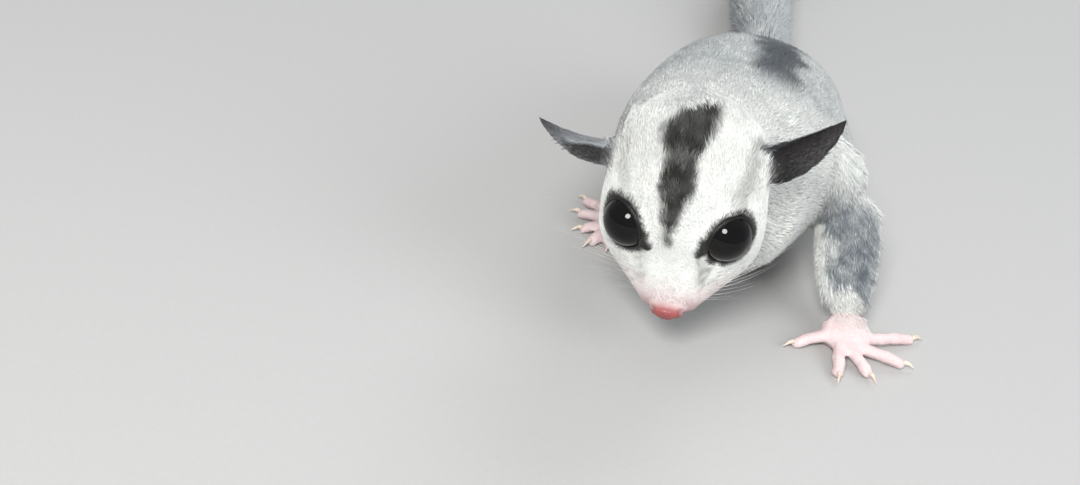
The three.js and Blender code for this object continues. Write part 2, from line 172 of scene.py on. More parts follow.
# Lamps: place and size in metres, power, colour, and whether it shows in the eyes.
LIGHT_AIM = (0.0, -0.08, 0.02)
LIGHTS = {
    "key": ((-0.12, -0.72, 0.62), 0.30, 7.6, (1.0, 0.99, 0.97), True),
    "fill": ((0.65, -0.30, 0.45), 0.6, 3.4, (0.95, 0.97, 1.0), False),
    "rim": ((0.15, 0.65, 0.6), 0.5, 3.5, (0.97, 0.985, 1.0), False),
}
SKY = (0.86, 0.89, 0.93, 1)
SKY_STRENGTH = 0.5
FLOOR_HALF = 6.0

# What one operator makes and a later one needs again.
BUILT = {}


def nodes_of(*stems):
    """CAD nodes that come in a left and a right one."""
    return [f"{stem}_{side}" for stem in stems for side in SIGNS]


NODES_OF_KIND = {
    "face": ["head", "lower_jaw"],
    "nose": ["nose_pad"],
    "ear": nodes_of("ear"),
    "body": ["neck", "trunk"],
    "arm": nodes_of("upper_arm", "forearm"),
    "leg": nodes_of("thigh", "shank", "gliding_membrane"),
    "hand": nodes_of("hand", "foot"),
    "tail": TAIL_NODES,
}
FLESH = [node for names in NODES_OF_KIND.values() for node in names]


def turn(axis, degrees):
    """A rotation about one axis as an array."""
    return np.array(Matrix.Rotation(math.radians(degrees), 3, axis))


HEAD_TURN = turn("Z", HEAD_YAW) @ turn("X", HEAD_PITCH) @ turn("Y", HEAD_ROLL)


def middle_of(node):
    """The middle of a CAD node's box."""
    low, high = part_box(node)
    return np.array((low + high) / 2) / MM


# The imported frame's place of the animal frame, in which the landmarks were measured.
ANIMAL_ORIGIN = middle_of("eye_left") - HEAD_PLACE - HEAD_TURN @ EYE_CENTRE
EYES = {side: middle_of(f"eye_{side}") for side in SIGNS}


def to_head(points):
    """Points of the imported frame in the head's frame."""
    return (points - ANIMAL_ORIGIN - HEAD_PLACE) @ HEAD_TURN


def unit(vectors):
    """Vectors of length one."""
    return vectors / np.maximum(np.linalg.norm(vectors, axis=-1, keepdims=True), 1e-9)


def gap_to(points, centre):
    """Distance from points to one place."""
    return np.linalg.norm(points - centre, axis=1)


def segment_distance(points, start, end):
    """Distance from points to a straight stretch."""
    start, end = np.array(start, float), np.array(end, float)
    line = end - start
    share = np.clip((points - start) @ line / (line @ line), 0, 1)
    return np.linalg.norm(points - start - share[:, None] * line, axis=1)


def ramp(low, high, values):
    """A smooth rise from 0 at low to 1 at high."""
    t = np.clip((values - low) / (high - low), 0, 1)
    return t * t * (3 - 2 * t)


def hump(values, middle, width):
    """A smooth hump of height 1."""
    return np.exp(-(((values - middle) / width) ** 2))


def linear(colour):
    """A screen colour as the numbers that light adds up in."""
    c = np.asarray(colour, float)
    return np.where(c <= 0.04045, c / 12.92, ((c + 0.055) / 1.055) ** 2.4)


def ripple(points, size, seed):
    """A smooth random field from about -1 to 1 whose spots are size across."""
    rng = np.random.default_rng(seed)
    total = np.zeros(len(points))
    waves = 7
    for _ in range(waves):
        direction = unit(rng.normal(size=3)) * rng.uniform(0.6, 1.6) * math.pi / size
        total += np.sin(points @ direction + rng.uniform(0, 2 * math.pi))
    return total / math.sqrt(waves)


def part(kinds, *names):
    """The share that some kinds of surface have in each point."""
    return kinds[:, [KIND_NAMES.index(name) for name in names]].sum(1)


# Sizes and colours that a user would change


class GliderSizes(bpy.types.PropertyGroup):
    """Sizes of the skin and coat."""

    skin_grain: FloatProperty(
        name="Skin Grain",
        description="Size of the skin's facets before it is thinned",
        default=0.45 * MM,
        min=0.2 * MM,
        max=2 * MM,
        precision=5,
        subtype="DISTANCE",
        unit="LENGTH",
    )
    coat_fullness: FloatProperty(
        name="Coat Fullness",
        description="Share of the full number of tufts",
        default=1.0,
        min=0.02,
        max=1.2,
        subtype="FACTOR",
    )
    hair_length: FloatProperty(
        name="Hair Length",
        description="Length of the hair against the animal's own",
        default=1.0,
        min=0.3,
        max=2.0,
    )
    whisker_length: FloatProperty(
        name="Whisker Length",
        description="Length of the longest whiskers",
        default=17 * MM,
        subtype="DISTANCE",
        unit="LENGTH",
    )
    seed: IntProperty(name="Seed", description="Number that fixes where the tufts grow", default=11)


def colour_property(name, description, default):
    """A colour that a user can pick."""
    settings = {"size": 3, "min": 0, "max": 1, "subtype": "COLOR"}
    return FloatVectorProperty(name=name, description=description, default=default, **settings)


class GliderColours(bpy.types.PropertyGroup):
    """Colours of the coat and the bare parts, as they look on a screen."""

    white: colour_property("White", "Head, chest and belly", (0.955, 0.96, 0.945))
    pale: colour_property("Pale Grey", "Back and flanks", (0.82, 0.835, 0.84))
    slate: colour_property("Slate", "Grey of the arms", (0.42, 0.455, 0.49))
    stripe: colour_property("Stripe", "Forehead stripe and eye rings", (0.13, 0.13, 0.12))
    pink: colour_property("Pink", "Hands and feet", (0.87, 0.80, 0.80))
    nose: colour_property("Nose", "Nose pad", (0.60, 0.32, 0.32))
    ear_back: colour_property("Ear Back", "Back of the ears", (0.33, 0.35, 0.38))
    ear_inside: colour_property("Ear Hollow", "Inside of the ears", (0.13, 0.12, 0.12))


def sizes():
    """The scene's sizes."""
    return bpy.context.scene.glider_sizes


def paint_box():
    """The scene's colours as light adds them up."""
    colours = bpy.context.scene.glider_colours
    return {name: linear(getattr(colours, name)) for name in GliderColours.__annotations__}


# Meshes and arrays


def mesh_from(name, points, triangles, smooth=True):
    """A triangle mesh object from arrays in millimetres."""
    mesh = bpy.data.meshes.new(name)
    mesh.vertices.add(len(points))
    mesh.vertices.foreach_set("co", (points * MM).astype(np.float32).ravel())
    mesh.loops.add(triangles.size)
    mesh.loops.foreach_set("vertex_index", triangles.astype(np.int32).ravel())
    mesh.polygons.add(len(triangles))
    mesh.polygons.foreach_set("loop_start", np.arange(0, triangles.size, 3, dtype=np.int32))
    mesh.polygons.foreach_set("use_smooth", np.full(len(triangles), smooth))
    mesh.update(calc_edges=True)
    return show(name, mesh)


def show(name, data):
    """An object in the scene for a mesh, lamp or camera."""
    made = bpy.data.objects.new(name, data)
    bpy.context.scene.collection.objects.link(made)
    return made


def points_of(mesh):
    """A mesh's points in millimetres."""
    flat = np.empty(len(mesh.vertices) * 3, np.float32)
    mesh.vertices.foreach_get("co", flat)
    return flat.reshape(-1, 3).astype(float) / MM


def triangles_of(mesh):
    """A mesh's triangles as point numbers."""
    mesh.calc_loop_triangles()
    flat = np.empty(len(mesh.loop_triangles) * 3, np.int32)
    mesh.loop_triangles.foreach_get("vertices", flat)
    return flat.reshape(-1, 3)


def joined(parts):
    """One pair of points and triangles from several."""
    shifts = np.cumsum([0] + [len(points) for points, _ in parts[:-1]])
    triangles = [own + shift for (_, own), shift in zip(parts, shifts)]
    return np.concatenate([points for points, _ in parts]), np.concatenate(triangles)


def ring_faces(rings, sides, closed=False):
    """Triangles between each ring of points and the next."""
    faces = []
    for k in range(rings if closed else rings - 1):
        this, after = k * sides, (k + 1) % rings * sides
        for i in range(sides):
            j = (i + 1) % sides
            faces += [(this + i, after + i, after + j), (this + i, after + j, this + j)]
    return faces


def facing_out(points, faces, centre):
    """Arrays of a closed shape with its faces turned outward."""
    points, faces = np.array(points), np.array(faces)
    a, b, c = (points[faces[:, k]] - centre for k in range(3))
    volume = np.einsum("ij,ij->i", a, np.cross(b, c)).sum()
    return points, faces if volume > 0 else faces[:, ::-1]


def corner_areas(points, triangles):
    """Twice the area of each triangle."""
    a, b, c = (points[triangles[:, k]] for k in range(3))
    return np.linalg.norm(np.cross(b - a, c - a), axis=1)


def set_attribute(mesh, name, values, kind="FLOAT", key="value"):
    """A value for each point, kept as an attribute."""
    data = np.asarray(values, np.float32)
    if kind == "FLOAT_COLOR":
        data = np.concatenate([data, np.ones((len(data), 1), np.float32)], axis=1)
    mesh.attributes.new(name, kind, "POINT").data.foreach_set(key, data.ravel())


def evaluated(piece, kind=None, **settings):
    """The mesh that an object has with one more modifier; the object is removed."""
    if kind:
        added = piece.modifiers.new(kind, kind)
        for key, value in settings.items():
            setattr(added, key, value)
    graph = bpy.context.evaluated_depsgraph_get()
    made = bpy.data.meshes.new_from_object(piece.evaluated_get(graph))
    piece.modifiers.clear()
    mesh = piece.data
    bpy.data.objects.remove(piece)
    bpy.data.meshes.remove(mesh)
    return made


# Shader maths


def arithmetic(operation, swapped=False):
    """An operator method for Value."""

    def apply(value, other):
        first, second = (other, value) if swapped else (value, other)
        return value.finish.node("ShaderNodeMath", {"operation": operation}, {0: first, 1: second})

    return apply


class Value:
    """A shader socket that takes part in Python arithmetic."""

    def __init__(self, finish, socket):
        self.finish = finish
        self.socket = socket

    __add__ = arithmetic("ADD")
    __radd__ = arithmetic("ADD", swapped=True)
    __sub__ = arithmetic("SUBTRACT")
    __rsub__ = arithmetic("SUBTRACT", swapped=True)
    __mul__ = arithmetic("MULTIPLY")
    __rmul__ = arithmetic("MULTIPLY", swapped=True)


class Finish:
    """A material built up node by node."""

    def __init__(self, name):
        self.material = bpy.data.materials.new(name)
        self.material.use_nodes = True
        self.tree = self.material.node_tree
        self.shader = next(n for n in self.tree.nodes if n.type == "BSDF_PRINCIPLED")

    def node(self, kind, settings=None, inputs=None, output=0):
        """Any node: its settings are set first, then the values or links of its sockets."""
        made = self.tree.nodes.new(kind)
        for key, value in (settings or {}).items():
            setattr(made, key, value)
        for socket, value in (inputs or {}).items():
            self.feed(made.inputs[socket], value)
        return Value(self, made.outputs[output])

    def feed(self, socket, value):
        """A link for a Value, or a plain value."""
        if isinstance(value, Value):
            self.tree.links.new(value.socket, socket)
        else:
            socket.default_value = value

    def attribute(self, name, output="Color"):
        """A colour or number that the mesh carries."""
        return self.node("ShaderNodeAttribute", {"attribute_name": name}, output=output)

    def place(self):
        """Object coordinates."""
        return self.node("ShaderNodeTexCoord", output="Object")

    def noise(self, scale, detail=3.0, roughness=0.55):
        """Noise on object coordinates, with spots of about one over scale metres."""
        inputs = {"Vector": self.place(), "Scale": scale, "Detail": detail, "Roughness": roughness}
        return self.node("ShaderNodeTexNoise", {"noise_dimensions": "3D"}, inputs)

    def cells(self, scale, feature="F1"):
        """Distance to the middle or edge of small cells."""
        inputs = {"Vector": self.place(), "Scale": scale}
        return self.node("ShaderNodeTexVoronoi", {"feature": feature}, inputs)

    def blend(self, share, first, second, mode="MIX"):
        """A mix of two colours."""
        settings = {"data_type": "RGBA", "blend_type": mode}
        return self.node("ShaderNodeMix", settings, {0: share, 6: first, 7: second}, output=2)

    def times(self, first, second):
        """One colour multiplied by another."""
        return self.blend(1.0, first, second, "MULTIPLY")

    def steps(self, value, *stops):
        """A colour ramp over a value."""
        made = self.node("ShaderNodeValToRGB", None, {0: value})
        elements = made.socket.node.color_ramp.elements
        for index, (place, colour) in enumerate(stops):
            stop = elements[index] if index < 2 else elements.new(place)
            stop.position = place
            stop.color = (*colour, 1)
        return made

    def bump(self, height, strength, distance):
        """A normal from a height."""
        inputs = {"Height": height, "Strength": strength, "Distance": distance}
        return self.node("ShaderNodeBump", None, inputs)

    def wear(self, **values):
        """Sets the shader's own sockets."""
        for key, value in values.items():
            self.feed(self.shader.inputs[key.replace("_", " ")], value)
        return self.material


def skin_finish():
    """Bare pink skin, wet nose, dark ears and the short underfur, told apart by the mesh's own numbers."""
    finish = Finish("glider_skin")
    colour = finish.attribute("coat_colour")
    bare = finish.attribute("bare", "Fac")
    wet = finish.attribute("wet", "Fac")
    fine = finish.noise(2600, 5, 0.65)
    pores = finish.cells(2400)
    creases = finish.cells(900, "DISTANCE_TO_EDGE")
    flush = finish.steps(finish.noise(700, 4), (0.25, (1.0, 0.90, 0.89)), (0.75, (1.0, 1.0, 1.0)))
    shade = finish.blend(bare * 0.8, (1, 1, 1, 1), flush)
    tone = finish.blend(0.55, colour, finish.times(colour, shade))
    speck = finish.steps(fine, (0.3, (0.86, 0.86, 0.87)), (0.7, (1.05, 1.05, 1.05)))
    height = fine * 0.5 + pores * 0.5 * bare + creases * 1.4 * bare * (1 - wet * 0.4)
    return finish.wear(
        Base_Color=finish.blend(0.6, tone, finish.times(tone, speck)),
        Roughness=0.86 - bare * 0.34 + fine * 0.08 - wet * 0.2,
        Normal=finish.bump(height, 0.5, 0.00022),
        Subsurface_Weight=0.08,
        Subsurface_Radius=(0.7, 0.4, 0.32),
        Subsurface_Scale=0.001,
        Specular_IOR_Level=0.4,
    )


def coat_finish():
    """Fine dry hair whose colour comes from the tuft and varies strand by strand."""
    finish = Finish("glider_coat")
    strands = finish.noise(2200, 3, 0.6)
    vary = finish.steps(strands, (0.25, (0.88, 0.88, 0.885)), (0.75, (1.05, 1.05, 1.045)))
    drift = finish.steps(
        finish.noise(160, 3), (0.3, (0.955, 0.96, 0.965)), (0.7, (1.02, 1.015, 1.01))
    )
    return finish.wear(
        Base_Color=finish.times(finish.times(finish.attribute("coat_colour"), vary), drift),
        Roughness=0.62 + strands * 0.25,
        Normal=finish.bump(strands, 0.35, 0.0001),
        Sheen_Weight=0.05,
        Sheen_Roughness=0.45,
        Specular_IOR_Level=0.3,
    )


def eye_finish():
    """A wet black eye with a faint brown iris under the gloss."""
    finish = Finish("glider_eye")
    flecks = finish.noise(1500, 4)
    tone = finish.steps(
        finish.attribute("iris", "Fac"),
        (0.0, (0.0025, 0.0025, 0.003)),
        (0.62, (0.004, 0.0035, 0.0035)),
        (1.0, (0.007, 0.0055, 0.005)),
    )
    speck = finish.steps(flecks, (0.3, (0.8, 0.8, 0.8)), (0.7, (1.25, 1.2, 1.15)))
    return finish.wear(
        Base_Color=finish.times(tone, speck),
        Roughness=0.04 + flecks * 0.03,
        Coat_Weight=0.05,
        Coat_Roughness=0.02,
        Specular_IOR_Level=0.22,
    )


def claw_finish():
    """Pale horn with fine streaks."""
    finish = Finish("glider_claw")
    streaks = finish.noise(1400, 4, 0.6)
    return finish.wear(
        Base_Color=finish.steps(streaks, (0.3, (0.55, 0.42, 0.34)), (0.7, (0.80, 0.70, 0.61))),
        Roughness=0.28 + streaks * 0.2,
        Normal=finish.bump(streaks, 0.3, 0.0001),
        Subsurface_Weight=0.1,
        Subsurface_Scale=0.0006,
    )


def whisker_finish():
    """Stiff pale hair that darkens in places."""
    finish = Finish("glider_whisker")
    along = finish.noise(300, 2)
    tone = finish.steps(along, (0.35, (0.42, 0.41, 0.40)), (0.65, (0.80, 0.79, 0.78)))
    return finish.wear(Base_Color=tone, Roughness=0.35 + along * 0.2)


def floor_finish():
    """Plain pale floor with a faint grain."""
    finish = Finish("stage_floor")
    grain = finish.noise(900, 4)
    tone = finish.steps(grain, (0.3, (0.435, 0.432, 0.425)), (0.7, (0.45, 0.447, 0.44)))
    return finish.wear(Base_Color=tone, Roughness=0.7 + grain * 0.1)


def dress(piece, material, slot, *replaced):
    """Gives a piece its finish and its body, and hides the CAD nodes that it stands for."""
    piece.data.materials.clear()
    piece.data.materials.append(material)
    if replaced:
        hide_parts(*replaced)
    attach(piece, "root")


# The skin as arrays


def swollen_copy(node, swell):
    """Points and triangles of a CAD node, its doubles merged, swollen along its normals."""
    build = bmesh.new()
    build.from_mesh(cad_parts[node].data)
    bmesh.ops.remove_doubles(build, verts=build.verts, dist=1e-6)
    bmesh.ops.triangulate(build, faces=build.faces)
    build.normal_update()
    points = np.array([v.co for v in build.verts]) / MM
    normals = np.array([v.normal for v in build.verts])
    triangles = np.array([[v.index for v in f.verts] for f in build.faces])
    build.free()
    return points + normals * swell, triangles


class Surface:
    """The dense skin: points, triangles, neighbours and what each point is."""

    def __init__(self, mesh):
        self.points = points_of(mesh)
        self.triangles = triangles_of(mesh)
        edges = np.empty(len(mesh.edges) * 2, np.int32)
        mesh.edges.foreach_get("vertices", edges)
        edges = edges.reshape(-1, 2)
        ends = np.concatenate([edges, edges[:, ::-1]])
        ends = ends[np.argsort(ends[:, 0], kind="stable")]
        count = len(self.points)
        self.degree = np.bincount(ends[:, 0], minlength=count)
        start = np.concatenate([[0], np.cumsum(self.degree)[:-1]])
        rank = np.arange(len(ends)) - start[ends[:, 0]]
        self.near = np.repeat(np.arange(count)[:, None], int(self.degree.max()), axis=1)
        self.near[ends[:, 0], rank] = ends[:, 1]

    def average(self, values):
        """The mean of each point's neighbours."""
        spare = self.near.shape[1] - self.degree
        flat = values.reshape(len(values), -1)
        total = flat[self.near[:, 0]].copy()
        for column in range(1, self.near.shape[1]):
            total += flat[self.near[:, column]]
        total -= flat * spare[:, None]
        return (total / np.maximum(self.degree, 1)[:, None]).reshape(values.shape)

    def soften(self, values, rounds):
        """Values spread over the surface."""
        for _ in range(rounds):
            values = values + (self.average(values) - values) * SOFTNESS
        return values

    def melt(self, rounds, rate, share):
        """Smooths the points, which shrinks small shapes."""
        for _ in range(rounds):
            self.points += (self.average(self.points) - self.points) * rate * share[:, None]

    def relax(self, rounds, share):
        """Smooths the points, with a share for each point, and keeps the volume."""
        weight = np.broadcast_to(share, (len(self.points),))
        for _ in range(rounds):
            self.melt(1, 0.5, weight)
            self.melt(1, -0.52, weight)

    def normals(self):
        """Outward normals at the points."""
        a, b, c = (self.points[self.triangles[:, k]] for k in range(3))
        face = np.cross(b - a, c - a)
        total = np.zeros_like(self.points)
        count = len(self.points)
        for k in range(3):
            for axis in range(3):
                total[:, axis] += np.bincount(self.triangles[:, k], face[:, axis], minlength=count)
        return unit(total)


def owners(points, surfaces):
    """The CAD node that each point is nearest to, as its number in the list of flesh nodes."""
    corners, faces = joined(surfaces)
    owner = np.repeat(np.arange(len(surfaces)), [len(own) for _, own in surfaces])
    tree = BVHTree.FromPolygons(corners.tolist(), faces.tolist())
    return owner[[tree.find_nearest(p)[2] for p in points.tolist()]]


def lie_of_node(node):
    """The direction in which the coat lies on one CAD node."""
    stem, _, side = node.rpartition("_")
    if stem in LIE:
        first, second = (f"{name}_{side}" for name in LIE[stem])
        return unit(middle_of(second) - middle_of(first))
    if stem == "tail":
        number = min(int(side), len(TAIL_NODES) - 1)
        return unit(middle_of(TAIL_NODES[number]) - middle_of(TAIL_NODES[number - 1]))
    if stem == "ear":
        root, tip, _ = EARS[side]
        return unit((np.array(tip) - np.array(root)) @ HEAD_TURN.T)
    if node in ("head", "lower_jaw", "nose_pad"):
        return HEAD_TURN @ np.array([0.0, 1.0, 0.0])
    if stem == "gliding_membrane":
        return unit(np.array([0.0, 1.0, -0.35]))
    return np.array([0.0, 1.0, -0.12])


def eye_distance(points):
    """Distance from the nearer eyeball's surface."""
    return np.min([gap_to(points, EYES[side]) for side in SIGNS], axis=0) - EYE_RADIUS


def wrist_of(side):
    """Where the forearm's fur runs out over the hand."""
    return middle_of(f"hand_{side}") * 0.62 + middle_of(f"forearm_{side}") * 0.38


def ear_run(head, side):
    """How far along an ear each point of the head's frame is, from 0 at the root to 1 at the tip."""
    root, tip, _ = (np.array(v) for v in EARS[side])
    line = tip - root
    return (head - root) @ line / (line @ line)


def round_head(surface):
    """Takes the corners off the head, least round the eyes and at the nose."""
    head = to_head(surface.points)
    front = (head[:, 1] > 1.5) & (head[:, 1] < 44) & (np.linalg.norm(head[:, ::2], axis=1) < 26)
    ears = np.zeros(len(head), bool)
    for side, sign in SIGNS.items():
        root, tip, _ = (np.array(v) for v in EARS[side])
        gap = segment_distance(head, root + (tip - root) * 0.1, tip)
        ears |= (gap < 7.0) & (head[:, 0] * sign > 0)
    share = front * ~ears * (0.25 + 0.75 * ramp(3, 12, head[:, 1]))
    share = share * ramp(0.1, 2.2, eye_distance(surface.points))
    surface.melt(HEAD_ROUNDS, SOFTNESS, surface.soften(share.astype(float), 6))


def round_paws(surface):
    """Rounds the digits' ends and thickens the wrists."""
    surface.melt(PAW_ROUNDS, 0.5, surface.soften(part(surface.sharp_kinds, "hand"), 2))
    outward = surface.soften(surface.normals(), 4)
    for side in SIGNS:
        gap = gap_to(surface.points, wrist_of(side))
        surface.points += outward * (1 - ramp(1.5, 6.5, gap))[:, None]


def fill_creases(surface, bare):
    """Raises the valleys where one part meets the next, so that the body flows from head to tail."""
    head = to_head(surface.points)
    eyes = 1 - ramp(0.6, 2.6, eye_distance(surface.points))
    muzzle = (head[:, 1] < 7) & (head[:, 2] > -7) & (np.abs(head[:, 0]) < 19)
    open_share = surface.soften(1.0 - np.clip(bare + eyes + muzzle, 0, 1), 8)
    for number in range(CREASE_ROUNDS):
        if number % 15 == 0:
            outward = surface.soften(surface.normals(), 3)
        lift = np.einsum("ij,ij->i", surface.average(surface.points) - surface.points, outward)
        surface.points += outward * (np.clip(lift, 0, None) * 0.9 * open_share)[:, None]
    trunk = part(surface.sharp_kinds, "body") + 0.6 * part(surface.sharp_kinds, "leg")
    surface.melt(TRUNK_ROUNDS, SOFTNESS, surface.soften(trunk * open_share, 8))
    surface.relax(10, open_share)


def size_coat(surface):
    """The coat's depth, hair length, tuft width, crowding and stand at each point."""
    head = to_head(surface.points)
    sheet = surface.kinds @ np.array([KINDS[k] for k in KIND_NAMES])
    face = part(surface.kinds, "face")
    back = ramp(5, 34, head[:, 1])
    rim = 1 - face * (1 - ramp(0.2, 3.0, eye_distance(surface.points)))
    behind = (surface.points - ANIMAL_ORIGIN)[:, 1]
    tail_root = part(surface.kinds, "tail") * (1 - ramp(100, 128, behind))

    def eased(least):
        return 1 - face * (1 - (least + (1 - least) * back))

    surface.depth = sheet[:, 0] * eased(0.22) * (0.12 + 0.88 * rim) * (1 - 0.62 * tail_root)
    surface.length = sheet[:, 1] * (1 - 0.35 * tail_root) * eased(0.42) * (0.5 + 0.5 * rim)
    surface.width = sheet[:, 2] * eased(0.68)
    surface.crowd = sheet[:, 3] * (1 + face * 1.1 * (1 - back))
    surface.stand = sheet[:, 4]


def add_fuzz(surface):
    """Short down on the ears' roots and over the backs of the paws, longer hair beside the ears."""
    head = to_head(surface.points)
    ear, face, paw, arm = (part(surface.sharp_kinds, k) for k in ("ear", "face", "hand", "arm"))
    height = surface.points[:, 2]
    for side, sign in SIGNS.items():
        run = ear_run(head, side)
        own = ear * (head[:, 0] * sign > 0)
        surface.crowd += 13.0 * own * (1 - ramp(0.25, 0.85, run))
        surface.length += 1.1 * own * (1 - ramp(0.05, 0.3, run))
        surface.length += face * (1 - ramp(3.0, 8.0, gap_to(head, np.array(EARS[side][0]))))
    for side in SIGNS:
        near = 1 - ramp(2.5, 8.0, gap_to(surface.points, wrist_of(side)))
        surface.crowd += 6.0 * near * paw * ramp(1.6, 3.0, height)
        surface.length += near * (1.1 * paw + 0.8 * arm)
    surface.crowd += paw * 1.6 * ramp(3.0, 5.0, height)
    surface.stand += 0.12 * (ear + paw)


def sink(surface, bare):
    """Moves the skin inward by the coat's depth and lays it on the eyeballs."""
    depth = surface.soften(surface.depth, 6)
    tail = surface.soften(part(surface.kinds, "tail"), 4)
    extra = 0.22 * surface.soften(bare, 2)
    for _ in range(SINK_STEPS):
        inward = surface.soften(surface.normals(), 4)
        surface.points -= unit(inward) * ((depth + extra) / SINK_STEPS)[:, None]
        surface.relax(2, np.clip(depth, 0.05, 1.0))
        surface.melt(TAIL_ROUNDS, 0.5, tail)
    clear = EYE_RADIUS + EYE_CLEARANCE
    for side in SIGNS:
        arm = surface.points - EYES[side]
        inside = (np.linalg.norm(arm, axis=1) < clear) & (unit(arm) @ gaze(side) > -0.2)
        surface.points[inside] = EYES[side] + unit(arm[inside]) * clear


def dense_skin():
    """The smooth skin under the coat, with its kinds, coat sizes and lie."""
    if "surface" in BUILT:
        return BUILT["surface"]
    ears = NODES_OF_KIND["ear"]
    surfaces = [swollen_copy(n, EAR_SWELL if n in ears else FLESH_SWELL) for n in FLESH]
    raw = mesh_from("raw_skin", *joined(surfaces))
    remeshed = evaluated(raw, "REMESH", mode="VOXEL", voxel_size=sizes().skin_grain)
    surface = Surface(remeshed)
    bpy.data.meshes.remove(remeshed)

    owner = owners(surface.points, surfaces)
    kind_of = {n: KIND_NAMES.index(k) for k, members in NODES_OF_KIND.items() for n in members}
    kinds = np.eye(len(KIND_NAMES))[np.array([kind_of[n] for n in FLESH])[owner]]
    lie = np.array([lie_of_node(n) for n in FLESH])[owner]
    surface.sharp_kinds = kinds
    bare = part(kinds, *BARE_KINDS)
    solid = surface.soften(part(kinds, "hand", "nose"), 3)
    thin = surface.soften(part(kinds, "ear"), 3)
    surface.relax(4, 1.0)
    surface.relax(22, 1.0 - 0.8 * solid - 0.5 * thin)
    surface.melt(EAR_ROUNDS, SOFTNESS, thin)
    round_head(surface)
    round_paws(surface)
    fill_creases(surface, bare)
    surface.kinds = surface.soften(kinds, 10)
    surface.lie = unit(surface.soften(lie, 40))
    size_coat(surface)
    add_fuzz(surface)
    sink(surface, bare)
    surface.outward = surface.normals()
    BUILT["surface"] = surface
    return surface


# Eyes and lids


def gaze(side):
    """The way an eye bulges out of the head."""
    return HEAD_TURN @ unit(np.array([SIGNS[side] * 0.60, -0.18, 0.78]))


def eye_axes(side):
    """Across, up and out axes of an eye; across runs to its inner corner."""
    out = gaze(side)
    nose = np.array([0.0, 3.0, 3.0]) @ HEAD_TURN.T + ANIMAL_ORIGIN + HEAD_PLACE
    across = nose - EYES[side]
    across = unit(across - out * (across @ out))
    return across, np.cross(out, across), out


def eye_opening(side):
    """How far the eye shows, as an angle from its axis, all the way round."""
    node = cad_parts["head"].data
    tree = BVHTree.FromPolygons(points_of(node).tolist(), triangles_of(node).tolist())
    across, up, out = eye_axes(side)
    angles = np.linspace(0, 2 * math.pi, LID_SPOKES, endpoint=False)
    tilts = np.radians(np.arange(6, 100, 1.5))
    reach = []
    for angle in angles:
        spoke = across * math.cos(angle) + up * math.sin(angle)
        shown = tilts[0]
        for tilt in tilts:
            ray = out * math.cos(tilt) + spoke * math.sin(tilt)
            start = EYES[side] + ray * (EYE_RADIUS - 0.6)
            if tree.ray_cast(Vector(start), Vector(ray))[0] is not None:
                break
            shown = tilt
        reach.append(shown)
    waves = np.fft.rfft(reach)
    waves[5:] = 0
    return angles, np.fft.irfft(waves, LID_SPOKES)


def eyeball(side):
    """Arrays of a ball with a slightly fuller cornea, closed at both poles."""
    across, up, out = eye_axes(side)
    centre = EYES[side]

    def radius(tilt):
        return EYE_RADIUS + CORNEA_RISE * math.exp(-((tilt / 0.75) ** 2))

    rows = []
    for k in range(1, EYE_RINGS):
        tilt = math.pi * k / EYE_RINGS
        for i in range(EYE_SIDES):
            turned = 2 * math.pi * i / EYE_SIDES
            spoke = across * math.cos(turned) + up * math.sin(turned)
            rows.append(centre + (out * math.cos(tilt) + spoke * math.sin(tilt)) * radius(tilt))
    front, back = len(rows), len(rows) + 1
    rows += [centre + out * radius(0.0), centre - out * radius(math.pi)]
    faces = ring_faces(EYE_RINGS - 1, EYE_SIDES)
    last = (EYE_RINGS - 2) * EYE_SIDES
    for i in range(EYE_SIDES):
        j = (i + 1) % EYE_SIDES
        faces += [(front, i, j), (back, last + j, last + i)]
    return np.array(rows), np.array(faces)


def lid_ring(side):
    """Arrays of a rounded rim along the eye's opening, which joins the skin."""
    across, up, out = eye_axes(side)
    angles, reach = eye_opening(side)
    rows = []
    for angle, tilt in zip(angles, reach):
        corner = max(0.0, math.cos(angle)) ** 6
        tilt = tilt + math.radians(3.0 + 9.0 * corner)
        spoke = across * math.cos(angle) + up * math.sin(angle)
        ray = out * math.cos(tilt) + spoke * math.sin(tilt)
        away = -out * math.sin(tilt) + spoke * math.cos(tilt)
        radius = LID_RADIUS - 0.12 * corner
        for k in range(LID_SIDES):
            turned = 2 * math.pi * k / LID_SIDES
            offset = ray * math.sin(turned) * radius + away * math.cos(turned) * radius * 1.3
            rows.append(EYES[side] + ray * (EYE_RADIUS + 0.02) + offset)
    return facing_out(rows, ring_faces(len(angles), LID_SIDES, closed=True), EYES[side])


# Markings


def stripe_strength(head):
    """How dark the forehead stripe is at points of the head's frame."""
    back, middle, half = np.array(STRIPE).T
    centre = np.interp(head[:, 1], back, middle)
    width = np.interp(head[:, 1], back, half, left=0, right=0)
    ragged = ripple(head, 1.5, 5) * 0.4
    inside = ramp(-1.1, 1.3, width - np.abs(head[:, 0] - centre) + ragged)
    ends = ramp(11.4, 14.0, head[:, 1]) * (1 - ramp(39.6, 42.4, head[:, 1]))
    waist = 1 - 0.10 * hump(head[:, 1], STRIPE_WAIST, 1.2)
    mottled = 0.965 + 0.035 * ripple(head, 2.2, 6)
    return inside * ends * waist * mottled * (head[:, 2] > 0)


def muzzle_whiskers(sign):
    """Root, aim and share of the full length of each whisker on one side of the muzzle."""
    found = []
    for row in range(4):
        for column in range(4):
            spot = (sign * (4.2 + 1.25 * column), 5.2 + 1.7 * column, 2.6 - 1.5 * row + 0.3 * column)
            aim = (sign * 1.0, 0.05 + 0.16 * column, 0.42 - 0.26 * row)
            found.append((spot, aim, 0.45 + 0.18 * column))
    return found


